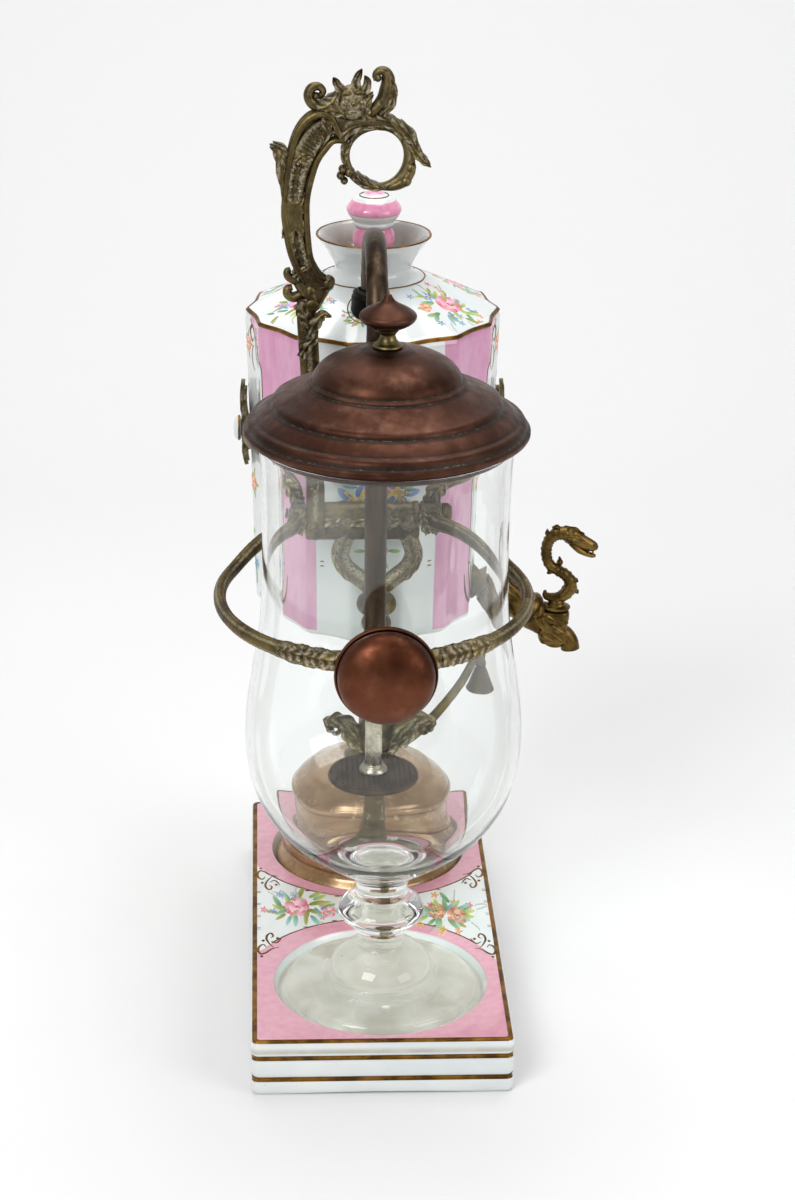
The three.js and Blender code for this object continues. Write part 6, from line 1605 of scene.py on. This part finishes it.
stem.swept(stem_path, stem_section, (0, -1, 0))
foot_plate = softened([(0, -2.4), (4.6, -2.4), (5.1, -1.8), (5.1, 1.4), (4.4, 2.2), (2.4, 2.6), (0, 2.6)],
    0.5)
stem.turned(foot_plate, 36, Matrix.Translation((-31.7, HANDLE_Y, 240.5)) @ Matrix.Rotation(math.pi / 2, 4,
    "X"))
STEM_LEAVES = ((((-33, 338), (-30.4, 344.4), (-26.6, 348.6), (-22.6, 347.6)), 6.6),
    (((-38.4, 354), (-36.2, 350.1), (-34.2, 345.1), (-33.4, 339)), 7),
    (((-32, 300), (-29.4, 309), (-27.8, 318), (-28.8, 326)), 5.4),
    (((-32, 262), (-29.6, 271), (-28, 280), (-29, 287)), 5.4),
    (((-32, 262), (-34.6, 271), (-36, 280), (-35, 287)), 5.4),
    (((-37, 328), (-34.4, 333), (-31, 337), (-29, 342)), 5.6))
for points, width in STEM_LEAVES:
    acanthus(stem, [(x, HANDLE_Y - 2.6, z) for x, z in points], width, 2.6, (0, -1, 0.05), 3)
stem.made("handle_bar", "stand", antique_bronze, "bronze", ["handle_stem"])

BODY = [(-32.4, 352), (-29.6, 357), (-27.6, 361.4), (-31.3, 364.6), (-35.1, 370), (-37.7, 377.1),
    (-39.5, 385.7), (-39.9, 394.2), (-40.2, 402.7), (-39.5, 411.2), (-37.7, 419.2), (-35.1, 425.7),
    (-31.4, 431.8), (-26.8, 436.4), (-21.5, 438.4), (-14, 438.0)]
HALVES = (4.2, 4.2, 4.2, 4.4, 5.0, 4.7, 4.9, 5.3, 5.1, 5.6, 6.2, 6.4, 6.2, 5.6, 4.6, 3.4)
bow = Form()
bow_path = curve_through(in_plane(BODY), 12)


def zone(t, start, end, soft=0.025):
    return clamped((t - start) / soft) * clamped((end - t) / soft)


def bow_section(t):
    """Two rounded rims; between them ribs in the upper bend and two long ragged hollows below."""
    half = along(HALVES, t)
    deep = along((2.6, 3, 3.4, 3.8, 4.2, 4.2, 4.2, 4.2, 4.2, 4.2, 4.2, 4.2, 4, 3.8, 3.6, 3), t)
    ribbed = zone(t, 0.68, 0.95)
    slot = max(zone(t, 0.27, 0.43), zone(t, 0.53, 0.685))
    ragged = 0.34 + 0.08 * math.sin(t * 190) + 0.05 * math.sin(t * 437)
    ribs = 0.5 + 0.5 * math.cos(2 * math.pi * t * 62)
    out = []
    for side in (1, -1):
        row = []
        for k in range(17):
            across = 1 - k / 8
            rim = math.exp(-(((abs(across) - 0.78) / 0.2) ** 2))
            level = deep * (0.98 if abs(across) < 0.999 else 0.2) * (1 - abs(across) ** 5 * 0.7)
            sunk = ribbed * 1.4 * (1 - rim) * (abs(across) < 0.8)
            hole = slot * max(0, 1 - (abs(across) / ragged) ** 4)
            sunk += hole * 3.2
            ledge = math.exp(-(((abs(across) - ragged - 0.04) / 0.17) ** 2))
            dirt = ribbed * (abs(across) < 0.68) * (1.15 - 0.65 * ribs) + slot * ledge * 1.1
            row.append((side * across * half, side * (level - sunk + ribbed * 0.4 * ribs
                * (abs(across) < 0.62)), min(1, dirt + 0.12)))
        out += row
    return out


bow.swept(bow_path, bow_section, (0, -1, 0))


def strand(form, points, width, thick, y, swell, hollow=0.05):
    """A rounded cast rib that follows a line in the handle's plane."""
    path = curve_through(in_plane(points, y), 6)

    def section(t):
        girth = width / 2 * along(swell, t)
        return [(girth * math.cos(a), thick / width * girth * math.sin(a),
            hollow + 0.3 * (math.sin(a) < -0.5)) for a in angles(14)]

    form.swept(path, section, (0, -1, 0))


outer_rim = [(-25.3, 365.5), (-22.9, 364.1), (-23.9, 361.2), (-28.5, 359.9), (-35.1, 364.6),
    (-38.8, 371.3), (-41.6, 379), (-43.4, 388.5), (-44.6, 398), (-44.1, 407.5), (-42.6, 419),
    (-41.3, 426.2), (-39.4, 432.7), (-36.3, 438.3), (-32.3, 442), (-27.8, 443.6), (-23.7, 442.2),
    (-21.2, 438.3), (-18.6, 433), (-16.2, 429.5)]
inner_rim = [(-16.8, 430.9), (-22.2, 430.9), (-25.9, 427.1), (-29.6, 421.5), (-32.3, 413.1),
    (-34.2, 403.7), (-34.3, 393.3), (-33.7, 383.8), (-32.3, 374.2), (-28.5, 367.5), (-25.3, 365.5)]
for front in (-1, 1):
    y = HANDLE_Y + front * 3.0
    strand(bow, outer_rim[7:], 3.2, 3.4, y, (0.6, 0.9, 1.1, 1.15, 1.2, 1.2, 1, 0.7))
    strand(bow, outer_rim[4:10], 3.4, 3.2, y, (0.8, 1.05, 1.1, 1, 0.6))
    strand(bow, inner_rim, 3.0, 3.2, y, (0.7, 1, 1, 1, 1, 1, 0.9, 0.6))
RING_CENTRE = (-1.7, 423.7)
RING_LINE = 14.5
ring_loop = [Vector((RING_CENTRE[0] + RING_LINE * math.cos(a), HANDLE_Y,
    RING_CENTRE[1] + RING_LINE * math.sin(a))) for a in angles(96)]


def loop_section(t):
    a = 2 * math.pi * t
    swell = 1 + 0.16 * math.cos(a - 0.9) + 0.1 * math.cos(3 * a + 0.6)
    return [((2.3 * swell - 0.25 * max(0, math.cos(2 * b)) ** 4) * math.cos(b), 3.1 * swell * math.sin(b),
        0.1 + 0.4 * max(0, math.cos(4 * b)) ** 3) for b in angles(20)]


bow.swept(ring_loop, loop_section, (0, -1, 0), True)
STRANDS = ((((-17.3, 430.6), (-18, 434.6), (-14.7, 438.2), (-8.1, 439.6), (-0.2, 439.8), (6.5, 438),
    (11.9, 433.8), (15.3, 428), (18, 423.6), (22, 420.4)), 5.6,
    (0.6, 0.9, 1.15, 1.2, 1.2, 1.15, 1.1, 0.9, 0.7, 0.3)),
    (((-31.9, 441.3), (-26.7, 442.8), (-22.7, 440.2), (-20.4, 435), (-17.3, 430.6)), 5.0,
    (0.7, 1, 1.1, 1, 0.8)), (((14.4, 421.6), (13.4, 416.4), (10.4, 411.8), (6, 409.6), (0.4, 408.6)), 4.4,
    (0.6, 1.2, 1.3, 1.1, 0.6)), (((-26, 443.2), (-28.6, 445.5), (-32, 448.4), (-33.2, 451.9),
    (-31.9, 455), (-28.8, 455.6), (-26.9, 453.5), (-28, 451.4), (-30, 451.4)), 5.0,
    (0.7, 1, 1.1, 1.05, 0.9, 0.75, 0.65, 0.6, 0.6)), (((-8.1, 441.6), (-3.5, 444.6), (0.6, 449),
    (2.4, 454.5), (2.8, 459.2), (1.6, 462.2), (-0.9, 462.9), (-2.8, 461.1), (-2.2, 458.8)), 6.2,
    (0.6, 1.0, 1.15, 1.15, 1.0, 0.8, 0.62, 0.55, 0.55)),
    (((-36, 362.5), (-31.2, 361.6), (-27.4, 361.4), (-24.2, 362.3), (-23.4, 364.4), (-25.2, 365.6)), 5.4,
    (0.9, 1, 1.05, 1, 0.85, 0.7)), (((-36.6, 364), (-40, 364.8), (-42.8, 366.4), (-43.4, 368.8),
    (-41.8, 369.6)), 4.2, (1, 1.1, 1, 0.8, 0.6)), (((-36.6, 358), (-40.2, 356.4), (-43, 357.6),
    (-43.2, 360.4), (-41, 361.2)), 4.6, (1, 1.1, 1, 0.85, 0.65)),
    (((-38, 364), (-35, 359.6), (-32, 357), (-31.8, 352.4)), 6.4, (0.9, 1.05, 1, 0.8)))
for points, width, swell in STRANDS:
    strand(bow, points, width, width * 1.25, HANDLE_Y, swell, 0.12)
for x, z, r in ((-14.6, 416.4, 2.6), (-17.8, 417.6, 2.0), (-18.6, 414.6, 2.0), (-17, 412.2, 1.8),
    (13.6, 418.6, 2.6), (11.4, 412.2, 2.8), (-24.6, 363.8, 2.6), (-32.6, 360.2, 3.2), (-30, 451.6, 1.6),
    (-2, 459.8, 1.8)):
    bow.lump((x, HANDLE_Y - 1.0, z), (r, 3.6, r), 18, mark=0.15)
LEAVES = ((((-43.3, 402.8), (-45.2, 413.6), (-46.5, 421.8), (-48.5, 426.5), (-51.2, 428.4)), 5.6),
    (((-42.3, 417), (-43.6, 423.1), (-45.9, 427), (-49.8, 429.6)), 4.6),
    (((-43.3, 385), (-41.5, 392.4), (-38.6, 398.4), (-35.6, 403), (-34, 408)), 7.4),
    (((-35.8, 386.6), (-37.8, 392), (-40.4, 397.4), (-43, 402.4)), 5.6),
    (((-39.6, 421), (-37, 424), (-33.4, 425), (-30.6, 423)), 4.8),
    (((-39.8, 366.4), (-37, 370), (-34, 371.6), (-31.4, 369.6)), 5.2),
    (((-26, 442), (-25.1, 438.2), (-25.8, 433), (-28, 427.6)), 4.6),
    (((-29.3, 445.6), (-25.4, 447.1), (-22.1, 449.8), (-19.8, 453.6)), 7.4),
    (((-28, 443.8), (-24, 445), (-19.4, 444.4), (-15.4, 441.8)), 6.2),
    (((-6.6, 441), (-7.8, 445), (-6.6, 449.4), (-4, 452.6)), 5.6),
    (((-0.2, 443), (4, 448), (5.4, 454.4), (4.2, 459.6)), 4.4),
    (((-18.7, 432.4), (-13.4, 437.3), (-6.1, 438.6), (1.2, 436.2)), 5.8),
    (((-2.8, 441.4), (3.8, 439.6), (8.5, 435.2), (9.7, 429.8)), 5.8),
    (((7.8, 438.6), (13.4, 433), (15.5, 426.8), (14.7, 421.6)), 5.4),
    (((13.2, 430), (16.8, 424.8), (20, 421.4), (22.9, 419)), 4.4),
    (((-12, 414.6), (-8, 411.4), (-3, 409.4), (2.4, 408.8)), 4.6),
    (((-14.4, 431), (-16.8, 427), (-17.2, 422.6), (-16, 418.4)), 3.6))
for points, width in LEAVES:
    for front in (-1, 1):
        acanthus(bow, [(x, HANDLE_Y + front * 2.6, z) for x, z in points], width, 3.2, (0, front, 0), 3, 7)
# The small beast's mask between the scrolls: skull, muzzle, cheeks, brows, nose and pointed ears
MASK = ((-13.6, -0.6, 450.6, 6.4, 5.0, 6.2, 0.5), (-12.8, -3.6, 447.6, 3.8, 3.6, 3.2, 0.5),
    (-13.0, -1.6, 443.8, 4.6, 3.8, 3.2, 0.6), (-17.2, -2.4, 447.8, 2.6, 2.6, 3.2, 0.5),
    (-8.8, -2.4, 448.0, 2.6, 2.6, 3.2, 0.5), (-12.8, -6.6, 449.0, 1.7, 1.2, 1.2, 0.1),
    (-16.4, -4.6, 453.4, 2.6, 1.6, 1.1, 0.05), (-10.2, -4.6, 453.8, 2.6, 1.6, 1.1, 0.05),
    (-16, -4.6, 451.6, 1.1, 0.9, 0.9, 0.8), (-10.4, -4.6, 451.9, 1.1, 0.9, 0.9, 0.8),
    (-12.9, -6.2, 445.6, 2.6, 0.7, 0.5, 0.9))
for x, out, z, across, deep, tall, mark in MASK:
    bow.lump((x, HANDLE_Y + out, z), (across, deep, tall), 24, mark=mark)
for ear in (((-17.6, 453.6), (-19.6, 456), (-21, 458.2), (-22.4, 460)),
    ((-11.6, 454.6), (-12, 457.8), (-11, 461), (-9.2, 464)),
    ((-8.8, 453.4), (-7.2, 455.8), (-6.8, 458.6), (-8, 461))):
    acanthus(bow, [(x, HANDLE_Y - 1.4, z) for x, z in ear], 5.2, 3.8, (0, -1, 0), 1, 8, 0.7)
bow.made("handle_bow", "stand", antique_bronze, "bronze", ["handle_scroll"])

# Ribs across the channel of the bow, 1.7 mm apart, laid by a tree along its line
tree = bpy.data.node_groups.new("laid_ribs", "GeometryNodeTree")
given, wanted = tree_inputs(tree, Spacing=0.0017, Length=0.0033, Girth=0.00058, Finish=antique_bronze)
line = add(tree, "GeometryNodeMeshToCurve", {"Mesh": given["Geometry"]})
dots = add(tree, "GeometryNodeResampleCurve", {"Curve": line.outputs[0], "Length": given["Spacing"]},
    mode="LENGTH")
way = add(tree, "GeometryNodeInputTangent").outputs[0]
turned = add(tree, "FunctionNodeAlignRotationToVector", {"Vector": way}, axis="Z")
turned = add(tree, "FunctionNodeAlignRotationToVector",
    {"Rotation": turned.outputs[0], "Vector": (0, 1, 0)}, axis="Y", pivot_axis="Z")
bead = add(tree, "GeometryNodeMeshUVSphere", {"Segments": 10, "Rings": 8, "Radius": 1.0})
size = add(tree, "ShaderNodeCombineXYZ", {0: given["Length"], 1: given["Girth"], 2: given["Girth"]})
laid = add(tree, "GeometryNodeInstanceOnPoints", {"Points": dots.outputs[0],
    "Instance": bead.outputs["Mesh"], "Rotation": turned.outputs[0], "Scale": size.outputs[0]})
real = add(tree, "GeometryNodeRealizeInstances", {"Geometry": laid.outputs[0]})
dressed = add(tree, "GeometryNodeSetMaterial", {"Geometry": real.outputs[0], "Material": given["Finish"]})
tree.links.new(dressed.outputs[0], wanted[0])
run = [p + Vector((0, -3.5, 0)) for p in bow_path[126:168]]
start = mesh_of("ribs", run, [], [(i, i + 1) for i in range(len(run) - 1)])
grown("handle_ribs", start, tree, "stand")
screw("handle_foot_rivet", "stand", 3.6, 1.7, (-31.7, HANDLE_Y - 2.5, 240.5), (0, -1, 0), ["handle_rivet"])
screw("handle_joint_rivet", "stand", 3.2, 1.5, (-31.7, HANDLE_Y - 3.4, 353), (0, -1, 0), ["joint_rivet"])

# Floor, backdrop, light and camera

paper = material("pale_paper", Roughness=0.9, Specular_IOR_Level=0.1, Base_Color=linear("#e9e9e9"))[0]
sheet = Form()
rows = []
for k in range(41):
    if k < 20:
        y, z = between(-900, 700, k / 20), 0
    else:
        a = math.pi / 2 * (k - 20) / 20
        y, z = 700 + 500 * math.sin(a), 500 * (1 - math.cos(a))
    rows.append((y, z))
rows.append((1200, 2600))
for y, z in rows:
    sheet.ring([(-2600, y, z), (2600, y, z)])
for k in range(len(rows) - 1):
    sheet.faces.append((2 * k, 2 * k + 1, 2 * k + 3, 2 * k + 2))
mesh = mesh_of("paper_sweep", sheet.points, sheet.faces)
mesh.shade_smooth()
mesh.materials.append(paper)
sweep = linked("paper_sweep", mesh)


def lamp(name, place, aim, width, height, watts):
    light = bpy.data.lights.new(name, "AREA")
    light.shape = "RECTANGLE"
    light.size, light.size_y, light.energy = width, height, watts
    made = linked(name, light)
    made.location = place
    made.rotation_euler = (Vector(aim) - Vector(place)).to_track_quat("-Z", "Y").to_euler()


target = (0, 0, 0.22)
lamp("soft_key", (-0.9, -1.3, 1.5), target, 0.9, 0.9, 22)
lamp("soft_fill", (1.4, -1.0, 0.9), target, 0.9, 1.1, 10)
lamp("top_light", (0.1, 0.3, 1.7), target, 1.2, 1.0, 14)

world = bpy.data.worlds.new("studio")
bpy.context.scene.world = world
world.use_nodes = True
background = world.node_tree.nodes["Background"]
background.inputs["Color"].default_value = linear("#ffffff")
background.inputs["Strength"].default_value = 0.35

view = bpy.data.cameras.new("photo_view")
view.sensor_fit = "AUTO"
view.sensor_width = 36
view.lens = 85.35
camera = linked("photo_view", view)
yaw, pitch, roll = 0.0503, 0.3867, 0.0133
forward = Vector((math.sin(yaw) * math.cos(pitch), math.cos(yaw) * math.cos(pitch), -math.sin(pitch)))
level = forward.cross(Vector((0, 0, 1))).normalized()
upright = level.cross(forward)
right = math.cos(roll) * level + math.sin(roll) * upright
upward = -math.sin(roll) * level + math.cos(roll) * upright
turn = Matrix((right, upward, -forward)).transposed().to_4x4()
camera.matrix_world = Matrix.Translation((-0.05463, -1.29413, 0.72802)) @ turn
bpy.context.scene.camera = camera
bpy.context.scene.view_settings.view_transform = "Standard"
